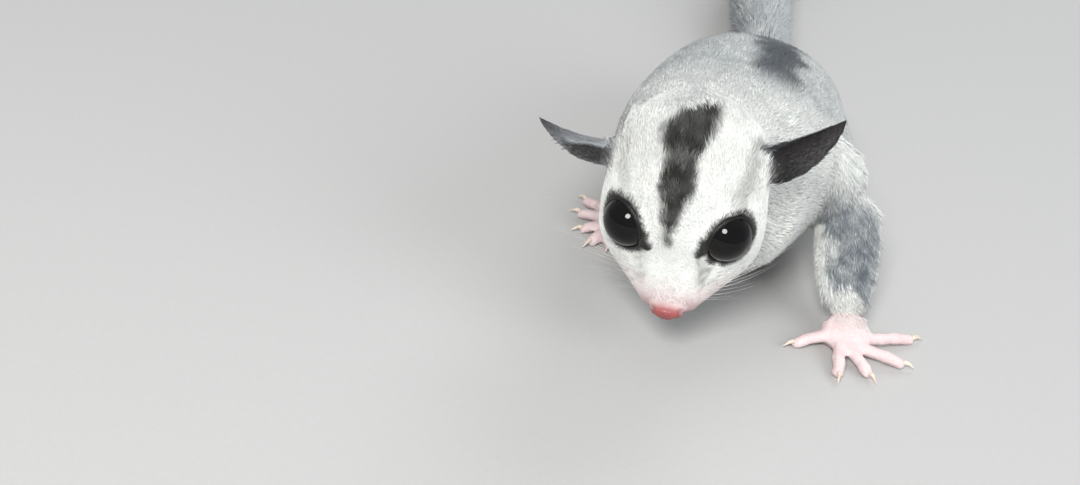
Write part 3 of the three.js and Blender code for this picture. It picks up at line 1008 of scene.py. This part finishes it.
def eye_shade(head):
    """Dark rings round the eyes, smudges below them, the streak to the ear and the whiskers' dots."""
    soft = ripple(head, 1.6, 41) * 0.3
    patchy = 0.62 + 0.38 * np.clip(ripple(head, 1.1, 44) + 0.4, -1, 1)
    total = np.zeros(len(head))
    for sign, strength in ((1, 1.0), (-1, 0.7)):
        own = head * (sign, 1, 1)
        gap = gap_to(own, EYE_CENTRE) - EYE_RADIUS + soft * 0.5
        corner = segment_distance(own, (6.9, 14.4, 10.8), (4.9, 11.8, 8.9)) + soft
        taper = 2.5 - 0.62 * np.clip(14.9 - head[:, 1], 0, 3.2)
        below = segment_distance(own, (6.0, 11.6, 7.4), (5.8, 6.6, 3.4)) + soft * 3
        above = segment_distance(own, (11.2, 22.6, 11.0), (13.0, 31.0, 8.0)) + soft
        shades = [
            (1 - ramp(0.45, 1.5, gap)) * 0.985,
            (1 - ramp(taper - 0.7, taper + 0.5, corner)) * 0.985,
            (1 - ramp(-0.4, 3.0, below)) * 0.5 * strength * patchy,
            (1 - ramp(0.4, 3.4, above)) * 0.32 * strength,
        ]
        for spot, _, _ in muzzle_whiskers(sign):
            dot = np.linalg.norm((head - spot)[:, 1:], axis=1) + (head[:, 0] * sign < 2) * 9
            shades.append((1 - ramp(0.12, 0.42, dot)) * 0.5 * strength)
        total = np.maximum(total, np.max(shades, axis=0))
    return total


class Paint:
    """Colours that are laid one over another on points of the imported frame."""

    def __init__(self, points, kinds, normals):
        self.tint = paint_box()
        self.points = points
        self.normals = normals
        self.head = to_head(points)
        self.animal = points - ANIMAL_ORIGIN
        self.share = dict(zip(KIND_NAMES, kinds.T))
        self.colour = np.tile(self.tint["white"], (len(points), 1))

    def lay(self, name, amount):
        """Covers what is there with a colour by an amount for each point."""
        target = self.tint[name] if isinstance(name, str) else name
        self.colour = self.colour + (target - self.colour) * np.clip(amount, 0, 1)[:, None]

    def ripple(self, size, seed):
        """A random field on the points."""
        return ripple(self.points, size, seed)

    def trunk(self):
        """Pale grey back and flanks, and the dark patch along the spine."""
        x, y, z = self.animal.T
        height = z + self.ripple(9, 3) * 2
        edge = 18 + 26 * (1 - ramp(26, 58, y))
        flank = ramp(0, 15, height - edge) + ramp(60, 90, y) * ramp(6, 20, height)
        trunk = np.clip(self.share["body"] + self.share["leg"] + 0.8 * self.share["arm"], 0, 1)
        rear = trunk * (np.clip(flank, 0, 1) * ramp(18, 44, y))
        self.lay("pale", rear * (0.60 + 0.25 * self.ripple(5, 7)))
        self.lay("slate", rear * np.clip(0.03 + 0.12 * self.ripple(2.0, 8), 0, 0.4))
        spine = np.abs(x - np.interp(y, (30, 60, 100), (10.5, 10.0, 6.5)))
        patch = (1 - ramp(2.5, 7.0, spine + self.ripple(4, 9) * 1.4)) * ramp(34, 50, y)
        patch = self.share["body"] * patch * ((1 - 0.6 * ramp(66, 92, y)) * (z > 20))
        self.lay("slate", patch * 0.85)
        self.lay("stripe", patch * 0.4)

    def arms(self):
        """Slate patches along the front of the forearms."""
        arm = self.share["arm"]
        for side, sign in SIGNS.items():
            elbow = middle_of(f"forearm_{side}")
            line = unit(middle_of(f"hand_{side}") - elbow)
            along = (self.points - elbow) @ line
            front = self.normals @ unit(np.array([sign * 0.25, -0.80, 0.55]))
            close = 1 - ramp(13, 18, gap_to(self.points, elbow))
            near = close * (sign * (self.animal[:, 0] - 9) > 0)
            aside = (self.points - elbow) @ np.cross((0.0, 0.0, 1.0), line)
            outer = ramp(-1.5, 2.5, sign * aside)
            reach = ramp(-12, -5, along) * (1 - ramp(8.5 + 3 * outer, 11.5 + 4 * outer, along))
            ragged = self.ripple(3, 12) * 0.10 + self.ripple(1.2, 14) * 0.05
            dark = arm * near * reach * ramp(0.35, 0.85, front + ragged)
            self.lay("slate", dark * (0.86 + 0.2 * self.ripple(1.3, 13)))
        self.lay("pale", arm * (0.2 + 0.12 * self.ripple(3, 17)))

    def tail(self):
        """Grey tail that darkens backward, with a pale tip."""
        tail, y = self.share["tail"], self.animal[:, 1]
        self.lay("pale", tail * (0.75 + 0.2 * self.ripple(8, 15)))
        dark = (0.20 + 0.25 * ramp(150, 215, y)) * (0.8 + 0.3 * self.ripple(4, 16))
        self.lay("slate", tail * dark)
        self.lay("white", tail * ramp(236, 250, y))

    def face(self):
        """Stripe, eye rings and the pink of the muzzle."""
        face = self.share["face"]
        _, y, z = self.head.T
        self.lay("pale", face * ramp(0, 9, -z) * 0.15)
        self.lay("stripe", np.clip(face + self.share["body"], 0, 1) * stripe_strength(self.head))
        self.lay("stripe", face * eye_shade(self.head))
        sides = 1 - ramp(-1.5, 3.5, z - 0.4 * (y - 5))
        blush = 1 - ramp(2.0, 8.0 + 4.5 * sides, y + self.ripple(2.5, 43) * 0.6)
        self.lay("pink", face * blush * 0.75)
        self.lay("nose", face * (1 - ramp(0.2, 3.4, y + self.ripple(1.5, 45) * 0.3)) * 0.55)
        self.lay("nose", self.share["nose"])

    def paws(self):
        """Pink skin of the paws, redder in places."""
        paw = self.share["hand"]
        self.lay("pink", np.clip(paw * 1.1, 0, 1))
        redder = self.ripple(2.4, 21) * 0.5 + 0.5
        self.lay(self.tint["pink"] * (0.98, 0.84, 0.83), paw * redder * 0.4)

    def ears(self):
        """Slate backs, dark hollows and tips, and pale rims."""
        for side, sign in SIGNS.items():
            root, tip, inside = (np.array(v) for v in EARS[side])
            along = unit(tip - root)
            inner = unit(inside - along * (inside @ along))
            across = np.cross(inner, along)
            across = across * math.copysign(1.0, across[1])
            run = ear_run(self.head, side)
            high = (self.head - root) @ across + self.ripple(2.5, 24) * 0.4
            here = self.share["ear"] * (self.head[:, 0] * sign > 0)
            hollow = self.normals @ (inner @ HEAD_TURN.T)
            down = 1 - ramp(0.15, 0.45, run)
            self.lay("ear_back", here * (0.9 + 0.1 * self.ripple(2.0, 25)))
            self.lay("pale", here * ramp(0.2, -0.4, hollow) * (0.14 + 0.34 * down))
            deep = ramp(0.05, 0.45, hollow) * (1 - 0.45 * ramp(0.6, 2.4, high))
            self.lay("ear_inside", here * deep)
            self.lay("ear_inside", here * ramp(0.45, 0.95, run) * 0.9)
            if side == "right":
                fold = ramp(-1.6, -2.6, high) * (1 - ramp(0.5, 0.75, run))
                self.lay("ear_inside", here * fold * 0.95)
                self.lay("pale", here * hump(high, -1.5, 0.35) * (1 - ramp(0.4, 0.7, run)) * 0.35)
            rim = (1 - ramp(0.1, 0.5, np.abs(hollow))) * (1 - ramp(0.7, 0.95, run))
            self.lay("pale", here * rim * 0.3)


def markings(points, kinds, normals):
    """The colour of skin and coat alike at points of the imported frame."""
    paint = Paint(points, kinds, normals)
    for layer in (paint.trunk, paint.arms, paint.tail, paint.face, paint.paws, paint.ears):
        layer()
    return np.clip(paint.colour, 0.001, 0.95)


# Pieces


def nearest_rows(points, cloud):
    """The number of the nearest point of a cloud for each point."""
    tree = KDTree(len(cloud))
    for number, place in enumerate(cloud.tolist()):
        tree.insert(place, number)
    tree.balance()
    return np.array([tree.find(p)[1] for p in points.tolist()])


def shape_details(points, normals, kinds):
    """Nostrils, the groove under the nose, the mouth line and the creases of the digits."""
    head = to_head(points)
    x, y, z = head.T
    push = np.zeros(len(points))
    for sign in SIGNS.values():
        pit = segment_distance(head, (sign * 1.45, -1.1, 1.2), (sign * 2.5, 0.4, 1.9))
        push -= 0.75 * hump(pit, 0, 0.55)
        push += 0.22 * hump(pit, 1.1, 0.5) * (y < 2)
    push -= 0.3 * hump(np.abs(x), 0, 0.3) * (y < 1.2) * (z < 2.2)
    lip = np.interp(y, (-1, 3, 7.8, 13), (-2.2, -3.0, -4.4, -5.3))
    push -= 0.55 * hump(z, lip, 0.4) * (1 - ramp(11.5, 13.5, y)) * (z < -1)
    push *= np.clip(part(kinds, "nose", "face"), 0, 1)
    for name in nodes_of("hand", "foot"):
        reach = np.linalg.norm((points - middle_of(name))[:, :2], axis=1)
        here = part(kinds, "hand") * (reach < 16) * (points[:, 2] > 0.5)
        crease = np.exp(-((((reach + 0.35 * ripple(points, 3, 51)) % 1.7) - 0.85) ** 2) / 0.035)
        knuckle = hump(reach, 7.2, 1.1) + 0.8 * hump(reach, 10.8, 1.1)
        push += here * (0.17 * knuckle - 0.10 * crease * ramp(4.0, 6.0, reach))
    return points + normals * push[:, None]


def build_skin():
    """The thinned skin, shaped in detail, coloured, with its lids."""
    surface = dense_skin()
    dense = mesh_from("dense_skin", surface.points, surface.triangles)
    fine = part(surface.sharp_kinds, *BARE_KINDS)
    front = part(surface.sharp_kinds, "face") * (1 - ramp(22, 28, to_head(surface.points)[:, 1]))
    coarse = np.flatnonzero(1 - fine - front > 0.5)
    dense.vertex_groups.new(name="thin").add(coarse.tolist(), 1.0, "REPLACE")
    thinned = evaluated(
        dense,
        "DECIMATE",
        decimate_type="COLLAPSE",
        ratio=min(1.0, SKIN_TRIANGLES / len(surface.triangles)),
        vertex_group="thin",
        vertex_group_factor=1000.0,
    )
    points, triangles = points_of(thinned), triangles_of(thinned)
    bpy.data.meshes.remove(thinned)
    rows = nearest_rows(points, surface.points)
    kinds, normals = surface.kinds[rows], surface.outward[rows]
    points = shape_details(points, normals, kinds)
    lids = [lid_ring(side) for side in SIGNS]
    rim = sum(len(own) for own, _ in lids)
    dark = np.tile(paint_box()["stripe"] * 0.45, (rim, 1))
    colour = np.concatenate([markings(points, kinds, normals), dark])
    bare = np.concatenate([part(kinds, *BARE_KINDS), np.full(rim, 0.8)])
    wet = np.concatenate([part(kinds, "nose"), np.full(rim, 0.9)])
    points, triangles = joined([(points, triangles), *lids])
    points[:, 2] = np.maximum(points[:, 2], 0.0)
    skin = mesh_from("skin", points, triangles)
    set_attribute(skin.data, "coat_colour", colour, "FLOAT_COLOR", "color")
    set_attribute(skin.data, "bare", bare)
    set_attribute(skin.data, "wet", wet)
    dress(skin, skin_finish(), "bare_skin", *FLESH)


def sample_roots(surface, chosen, rng, fullness):
    """Random places on the chosen triangles, as many as the coat's crowding asks."""
    triangles = surface.triangles[chosen]
    area = corner_areas(surface.points, triangles) / 2
    want = area * surface.crowd[triangles].mean(1) * fullness
    total = min(int(want.sum()), MOST_TUFTS)
    chance = np.cumsum(want) / want.sum()
    even = (np.arange(total) + rng.uniform(size=total)) / total
    pick = np.minimum(np.searchsorted(chance, even), len(triangles) - 1)
    u, v = rng.uniform(size=(2, total))
    flip = u + v > 1
    u[flip], v[flip] = 1 - u[flip], 1 - v[flip]
    shares = np.stack([1 - u - v, u, v], axis=1)
    corners = triangles[pick]
    return lambda values: np.einsum("nk,nk...->n...", shares, values[corners])


def unwrap(kind, points):
    """A place on the bake map for each root, from an unwrap of the skin round the part's own axis."""
    x, along, z = (points - ANIMAL_ORIGIN).T
    if kind == "face":
        x, along, z = to_head(points).T
        turned = np.arctan2(x, z - 2)
    elif kind == "tail":
        middle = np.interp(along, (103, 138, 188, 213, 250), (6, 5, -1, 3, 18))
        turned = np.arctan2(x - middle, z - 9)
    elif kind == "body":
        turned = np.arctan2(x - 5, z - 24)
    else:
        turned = np.arctan2(x - x.mean(), along - along.mean())
        along = z
    turned = (turned + math.pi) / (2 * math.pi)
    flat = np.stack([turned, (along - along.min()) / np.ptp(along)], axis=1)
    return 0.01 + flat * 0.975


def tuft_lie(roots, normals, lie, swing):
    """Forward and sideways axes of each tuft, away from the eyes and swirling a little."""
    for centre in EYES.values():
        away = roots - centre
        gap = np.linalg.norm(away, axis=1) - EYE_RADIUS
        lie = lie + unit(away) * (1.6 * (1 - ramp(0.3, 3.6, gap)))[:, None]
    lie = unit(lie - normals * np.einsum("ij,ij->i", lie, normals)[:, None])
    swirl = ripple(roots, 7, 31) * 0.16 + ripple(roots, 2.4, 32) * 0.13 + swing
    sideways = np.cross(normals, lie)
    forward = lie * np.cos(swirl)[:, None] + sideways * np.sin(swirl)[:, None]
    return forward, np.cross(normals, forward)


def grow_tufts(name, kind, read, surface, rng):
    """One coat piece: a bent, three-sided lock for each root, thinning to its tip."""
    roots = read(surface.points)
    normals = unit(read(surface.outward))
    kinds = read(surface.kinds)
    count = len(roots)
    forward, sideways = tuft_lie(roots, normals, read(surface.lie), rng.normal(0, 0.11, count))
    clump = 1 + 0.14 * ripple(roots, 1.9, 33)
    length = read(surface.length) * sizes().hair_length * rng.uniform(0.78, 1.16, count) * clump
    width = read(surface.width) * rng.uniform(0.8, 1.2, count)
    stand = read(surface.stand) * rng.uniform(0.75, 1.25, count) * 1.5
    rise = read(surface.depth) * rng.uniform(0.62, 1.0, count) / np.maximum(length, 0.1)
    rise = np.clip(rise, 0.05, 0.75)
    bend = rng.normal(0, 0.10, count) + 0.08 * ripple(roots, 3.1, 34)

    tip = TUFT_RINGS * TUFT_SIDES
    points = np.empty((count, tip + 1, 3))
    local = np.empty((tip + 1, 2))
    for k, t in enumerate(np.linspace(0, 1, TUFT_RINGS + 1)):
        climb = stand * t + (rise - stand) * t * t
        centre = (
            roots
            - normals * np.minimum(0.16, 0.07 * length)[:, None]
            + forward * (length * (t * (1 - 0.25 * rise * t)))[:, None]
            + normals * (length * np.maximum(climb, 0.03 * t) * 0.9)[:, None]
            + sideways * (length * bend * t * t)[:, None]
        )
        if k == TUFT_RINGS:
            points[:, tip] = centre
            local[tip] = (t, 0.5)
            continue
        thick = width * (0.62 + 0.9 * t - 1.25 * t * t) * 0.5
        tilt = normals - forward * (0.35 * t)
        first = k * TUFT_SIDES
        points[:, first] = centre + sideways * thick[:, None]
        points[:, first + 1] = centre + tilt * (thick * 0.75)[:, None]
        points[:, first + 2] = centre - sideways * thick[:, None]
        local[first : first + TUFT_SIDES] = ((t, 0), (t, 0.5), (t, 1))
    points[..., 2] = np.maximum(points[..., 2], 0.04)

    top = tip - TUFT_SIDES
    faces = [(0, 1, 2), *ring_faces(TUFT_RINGS, TUFT_SIDES)]
    faces += [(top + i, tip, top + (i + 1) % TUFT_SIDES) for i in range(TUFT_SIDES)]
    shifts = (np.arange(count) * (tip + 1))[:, None, None]
    triangles = (np.array(faces)[None] + shifts).reshape(-1, 3)

    tone = markings(roots, kinds, normals)
    if kind == "hand":
        tone = tone + (paint_box()["white"] - tone) * 0.75
    tone = tone * rng.uniform(0.94, 1.04, count)[:, None]
    light = 0.90 + 0.14 * local[:, 0]
    colours = np.clip(tone[:, None, :] * light[None, :, None], 0, 0.94)

    piece = mesh_from(name, points.reshape(-1, 3), triangles)
    set_attribute(piece.data, "coat_colour", colours.reshape(-1, 3), "FLOAT_COLOR", "color")
    spots = unwrap(kind, roots)[:, None, :] + (local[None] - 0.5) * BAKE_PATCH
    layer = piece.data.uv_layers.new(name="OFBake")
    layer.data.foreach_set("uv", spots.reshape(-1, 2)[triangles.ravel()].astype(np.float32).ravel())
    dress(piece, BUILT["coat_finish"], "coat")


def build_coat():
    """All coat pieces."""
    surface = dense_skin()
    BUILT["coat_finish"] = coat_finish()
    rng = np.random.default_rng(sizes().seed)
    kind_of_face = surface.kinds[surface.triangles].mean(1).argmax(1)
    clear = (surface.crowd > 0.3) & (eye_distance(surface.points) > 0.35)
    grows = clear[surface.triangles].all(1)
    middle = surface.points[surface.triangles].mean(1)
    for kind, parts in COAT_PIECES:
        members = np.flatnonzero((kind_of_face == KIND_NAMES.index(kind)) & grows)
        axis = HEAD_TURN[:, 1] if kind == "face" else np.array([0.0, 1.0, 0.0])
        order = members[np.argsort(middle[members] @ axis)]
        triangles = surface.triangles[order]
        area = corner_areas(surface.points, triangles)
        weight = np.cumsum(area * surface.crowd[triangles].mean(1))
        cuts = np.searchsorted(weight, weight[-1] * np.arange(1, parts) / parts)
        for number, chosen in enumerate(np.split(order, cuts), 1):
            read = sample_roots(surface, chosen, rng, sizes().coat_fullness)
            grow_tufts(f"coat_{kind}_{number}", kind, read, surface, rng)


def build_eyes():
    """Both eyeballs."""
    finish = eye_finish()
    for side in SIGNS:
        points, faces = eyeball(side)
        eye = mesh_from(f"eyeball_{side}", points, faces)
        tilt = np.arccos(np.clip(unit(points - EYES[side]) @ gaze(side), -1, 1))
        set_attribute(eye.data, "iris", ramp(0.3, 1.35, tilt))
        dress(eye, finish, "eye", f"eye_{side}")


def claw_arrays(node, paw):
    """A hooked claw that springs from inside the digit's tip."""
    points, _ = swollen_copy(node, 0.0)
    centre = points.mean(0)
    direction = np.linalg.svd((points - centre)[:, :2])[2][0]
    if direction @ (centre - middle_of(paw))[:2] < 0:
        direction = -direction
    forward = np.array([*direction, 0.0])
    sideways = np.array([-direction[1], direction[0], 0.0])
    root = centre - forward * CLAW_SUNK
    rows = []
    for k in range(CLAW_RINGS):
        t = k / (CLAW_RINGS - 1)
        radius = CLAW_RADIUS * (1 - 0.86 * t**1.3)
        spine = root + forward * (CLAW_REACH * t)
        arch = 0.45 * math.sin(0.8 * math.pi * min(1.0, t * 1.25))
        spine[2] = CLAW_HEIGHT + arch - 0.95 * t**2.2
        lift = np.array([0.0, 0.0, 1.25]) + forward * 0.35 * t
        for i in range(CLAW_SIDES):
            turned = 2 * math.pi * i / CLAW_SIDES
            rows.append(spine + (sideways * math.cos(turned) + lift * math.sin(turned)) * radius)
    last = (CLAW_RINGS - 1) * CLAW_SIDES
    back = root - forward * 0.1
    back[2] = CLAW_HEIGHT
    point = (rows[last] + rows[last + CLAW_SIDES // 2]) / 2 + forward * 0.12
    rows += [back, point]
    faces = ring_faces(CLAW_RINGS, CLAW_SIDES)
    for i in range(CLAW_SIDES):
        j = (i + 1) % CLAW_SIDES
        faces += [(last + CLAW_SIDES, i, j), (last + CLAW_SIDES + 1, last + j, last + i)]
    rows, faces = facing_out(rows, faces, centre)
    rows[:, 2] = np.maximum(rows[:, 2], 0.03)
    return rows, faces


def build_claws():
    """Rounded claws, one piece for each paw."""
    finish = claw_finish()
    for paw in nodes_of("hand", "foot"):
        members = sorted(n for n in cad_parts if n.startswith(f"claw_{paw}_"))
        piece = mesh_from(f"claws_{paw}", *joined([claw_arrays(node, paw) for node in members]))
        dress(piece, finish, "claw", *members)


def whisker_tree():
    """Geometry nodes that set a tapered, drooping whisker on each root, along the root's own aim."""
    tree = bpy.data.node_groups.new("whiskers", "GeometryNodeTree")
    for name, kind, default in (
        ("Geometry", "Geometry", None),
        ("Length", "Float", 17 * MM),
        ("Thickness", "Float", WHISKER_THICKNESS),
        ("Droop", "Float", WHISKER_DROOP),
        ("Seed", "Int", WHISKER_SEED),
        ("Finish", "Material", None),
    ):
        socket = tree.interface.new_socket(name, in_out="INPUT", socket_type=f"NodeSocket{kind}")
        if default is not None:
            socket.default_value = default
    tree.interface.new_socket("Geometry", in_out="OUTPUT", socket_type="NodeSocketGeometry")

    def add(kind, inputs=None, output=0, **settings):
        made = tree.nodes.new(kind)
        for key, value in settings.items():
            setattr(made, key, value)
        for socket, value in (inputs or {}).items():
            if isinstance(value, bpy.types.NodeSocket):
                tree.links.new(value, made.inputs[socket])
            else:
                made.inputs[socket].default_value = value
        return made.outputs[output] if made.outputs else None

    def maths(operation, first, second):
        return add("ShaderNodeMath", {0: first, 1: second}, operation=operation)

    given = tree.nodes.new("NodeGroupInput").outputs
    length = given["Length"]
    drop = maths("MULTIPLY", maths("MULTIPLY", length, given["Droop"]), -1.0)
    bow = add("ShaderNodeCombineXYZ", {"Z": maths("MULTIPLY", length, 0.5)})
    end = add("ShaderNodeCombineXYZ", {"X": drop, "Z": length})
    course = {"Resolution": 8, "Start": (0, 0, 0), "Middle": bow, "End": end}
    line = add("GeometryNodeCurveQuadraticBezier", course)
    taper = maths("SUBTRACT", 1.06, add("GeometryNodeSplineParameter", None, "Factor"))
    thick = maths("MULTIPLY", taper, given["Thickness"])
    shaped = add("GeometryNodeSetCurveRadius", {"Curve": line, "Radius": thick})
    ring = add("GeometryNodeCurvePrimitiveCircle", {"Resolution": 5, "Radius": 1.0}, mode="RADIUS")
    tube = add(
        "GeometryNodeCurveToMesh", {"Curve": shaped, "Profile Curve": ring, "Fill Caps": True}
    )
    if "Scale" in tube.node.inputs:
        tree.links.new(thick, tube.node.inputs["Scale"])
    aim = add("GeometryNodeInputNamedAttribute", {"Name": "aim"}, data_type="FLOAT_VECTOR")
    turned = add("FunctionNodeAlignRotationToVector", {"Vector": aim}, axis="Z")
    reach = add("GeometryNodeInputNamedAttribute", {"Name": "reach"}, data_type="FLOAT")
    spread = {2: 0.85, 3: 1.1, "Seed": given["Seed"]}
    vary = add("FunctionNodeRandomValue", spread, 1, data_type="FLOAT")
    placing = {"Instance": tube, "Rotation": turned, "Scale": maths("MULTIPLY", reach, vary)}
    placed = add("GeometryNodeInstanceOnPoints", {"Points": given["Geometry"], **placing})
    real = add("GeometryNodeRealizeInstances", {0: placed})
    painted = add("GeometryNodeSetMaterial", {0: real, "Material": given["Finish"]})
    add("NodeGroupOutput", {0: painted})
    return tree


def whisker_roots():
    """Roots on the muzzle and brows, each with the way it points and its share of the full length."""
    surface = dense_skin()
    wanted = []
    for sign in SIGNS.values():
        wanted += muzzle_whiskers(sign)
        for number in range(2):
            spot = (sign * (6.6 + 0.5 * number), 21.5 + 0.9 * number, 15.0)
            wanted.append((spot, (sign * 0.45, 0.1, 1.0), 0.45))
    spots, aims, reach = (np.array(values) for values in zip(*wanted))
    rows = nearest_rows(spots, to_head(surface.points))
    return surface.points[rows], unit(aims @ HEAD_TURN.T), reach


def build_whiskers():
    """Whiskers on the muzzle and over the eyes."""
    roots, aims, reach = whisker_roots()
    base = mesh_from("whisker_roots", roots, np.empty((0, 3), int))
    set_attribute(base.data, "aim", aims, "FLOAT_VECTOR", "vector")
    set_attribute(base.data, "reach", reach)
    finish = whisker_finish()
    modifier = base.modifiers.new("whiskers", "NODES")
    modifier.node_group = whisker_tree()
    given = {
        "Length": sizes().whisker_length,
        "Thickness": WHISKER_THICKNESS,
        "Droop": WHISKER_DROOP,
        "Seed": WHISKER_SEED,
        "Finish": finish,
    }
    for socket in modifier.node_group.interface.items_tree:
        if socket.in_out == "INPUT" and socket.name in given:
            modifier[socket.identifier] = given[socket.name]
    mesh = evaluated(base)
    mesh.name = "whiskers"
    dress(show("whiskers", mesh), finish, "coat")


# Stage


def build_camera():
    """The camera at the photograph's viewing angle."""
    a, e, r = (math.radians(v) for v in (CAMERA_AZIMUTH, CAMERA_ELEVATION, CAMERA_ROLL))
    forward = -np.array([math.sin(a) * math.cos(e), -math.cos(a) * math.cos(e), math.sin(e)])
    level = np.array([math.cos(a), math.sin(a), 0.0])
    lift = np.cross(level, forward)
    right = level * math.cos(r) + lift * math.sin(r)
    up = -level * math.sin(r) + lift * math.cos(r)
    x = (LOOK_PIXEL[0] - IMAGE[0] / 2) / FOCAL
    y = -(LOOK_PIXEL[1] - IMAGE[1] / 2) / FOCAL
    place = LOOK - CAMERA_DISTANCE * (forward + x * right + y * up) + ANIMAL_ORIGIN
    data = bpy.data.cameras.new("camera")
    data.sensor_width = SENSOR
    data.lens = FOCAL * SENSOR / IMAGE[0]
    data.clip_start = 0.01
    camera = show("camera", data)
    columns = np.stack([right, up, -forward], axis=1)
    camera.matrix_world = Matrix.Translation(Vector(place * MM)) @ Matrix(columns.tolist()).to_4x4()
    bpy.context.scene.camera = camera


def add_light(name, place, size, power, colour, shines):
    """A soft round lamp."""
    data = bpy.data.lights.new(name, "AREA")
    data.shape = "DISK"
    data.size = size
    data.energy = power
    data.color = colour
    lamp = show(name, data)
    lamp.location = place
    lamp.visible_glossy = shines
    lamp.rotation_mode = "QUATERNION"
    lamp.rotation_quaternion = (Vector(LIGHT_AIM) - Vector(place)).to_track_quat("-Z", "Y")


def build_stage():
    """Floor, soft lights, surroundings and camera."""
    corners = np.array([(-1, -1, 0), (1, -1, 0), (1, 1, 0), (-1, 1, 0)]) * FLOOR_HALF / MM
    floor = mesh_from("floor", corners, np.array([(0, 1, 2), (0, 2, 3)]), smooth=False)
    floor.data.materials.append(floor_finish())
    for name, settings in LIGHTS.items():
        add_light(name, *settings)
    scene = bpy.context.scene
    scene.world = bpy.data.worlds.new("studio")
    scene.world.use_nodes = True
    background = next(n for n in scene.world.node_tree.nodes if n.type == "BACKGROUND")
    background.inputs["Color"].default_value = SKY
    background.inputs["Strength"].default_value = SKY_STRENGTH
    scene.view_settings.view_transform = "Standard"
    build_camera()


# Operators


class GLIDER_OT_skin(bpy.types.Operator):
    """Build the one skin that replaces all the flesh, with its lids."""

    bl_idname = "glider.skin"
    bl_label = "Build Skin"

    def execute(self, context):
        build_skin()
        return {"FINISHED"}


class GLIDER_OT_coat(bpy.types.Operator):
    """Grow the tufts of the coat over the skin."""

    bl_idname = "glider.coat"
    bl_label = "Grow Coat"

    def execute(self, context):
        build_coat()
        return {"FINISHED"}


class GLIDER_OT_eyes(bpy.types.Operator):
    """Build the glossy eyeballs."""

    bl_idname = "glider.eyes"
    bl_label = "Build Eyes"

    def execute(self, context):
        build_eyes()
        return {"FINISHED"}


class GLIDER_OT_claws(bpy.types.Operator):
    """Round the claws of every paw."""

    bl_idname = "glider.claws"
    bl_label = "Build Claws"

    def execute(self, context):
        build_claws()
        return {"FINISHED"}


class GLIDER_OT_whiskers(bpy.types.Operator):
    """Set the whiskers on the muzzle and brows."""

    bl_idname = "glider.whiskers"
    bl_label = "Build Whiskers"

    def execute(self, context):
        build_whiskers()
        return {"FINISHED"}


class GLIDER_OT_stage(bpy.types.Operator):
    """Set up the floor, lights and camera."""

    bl_idname = "glider.stage"
    bl_label = "Set Stage"

    def execute(self, context):
        build_stage()
        return {"FINISHED"}


OPERATORS = (
    GLIDER_OT_skin,
    GLIDER_OT_coat,
    GLIDER_OT_eyes,
    GLIDER_OT_claws,
    GLIDER_OT_whiskers,
    GLIDER_OT_stage,
)


class GLIDER_PT_panel(bpy.types.Panel):
    """Lists the pieces, sizes and colours."""

    bl_label = "Sugar Glider"
    bl_idname = "GLIDER_PT_panel"
    bl_space_type = "VIEW_3D"
    bl_region_type = "UI"
    bl_category = "Glider"

    def draw(self, context):
        for operator in OPERATORS:
            self.layout.operator(operator.bl_idname)
        for group in (context.scene.glider_sizes, context.scene.glider_colours):
            for name in group.__annotations__:
                self.layout.prop(group, name)


CLASSES = (GliderSizes, GliderColours, *OPERATORS, GLIDER_PT_panel)


def register():
    """Registers the classes and the scene's settings."""
    for cls in CLASSES:
        bpy.utils.register_class(cls)
    bpy.types.Scene.glider_sizes = PointerProperty(type=GliderSizes)
    bpy.types.Scene.glider_colours = PointerProperty(type=GliderColours)


def unregister():
    """Removes the classes and the scene's settings."""
    del bpy.types.Scene.glider_colours
    del bpy.types.Scene.glider_sizes
    for cls in reversed(CLASSES):
        bpy.utils.unregister_class(cls)


def main():
    """Builds every piece in order."""
    register()
    bpy.ops.glider.skin()
    bpy.ops.glider.eyes()
    bpy.ops.glider.claws()
    bpy.ops.glider.coat()
    bpy.ops.glider.whiskers()
    bpy.ops.glider.stage()


if __name__ == "__main__":
    main()
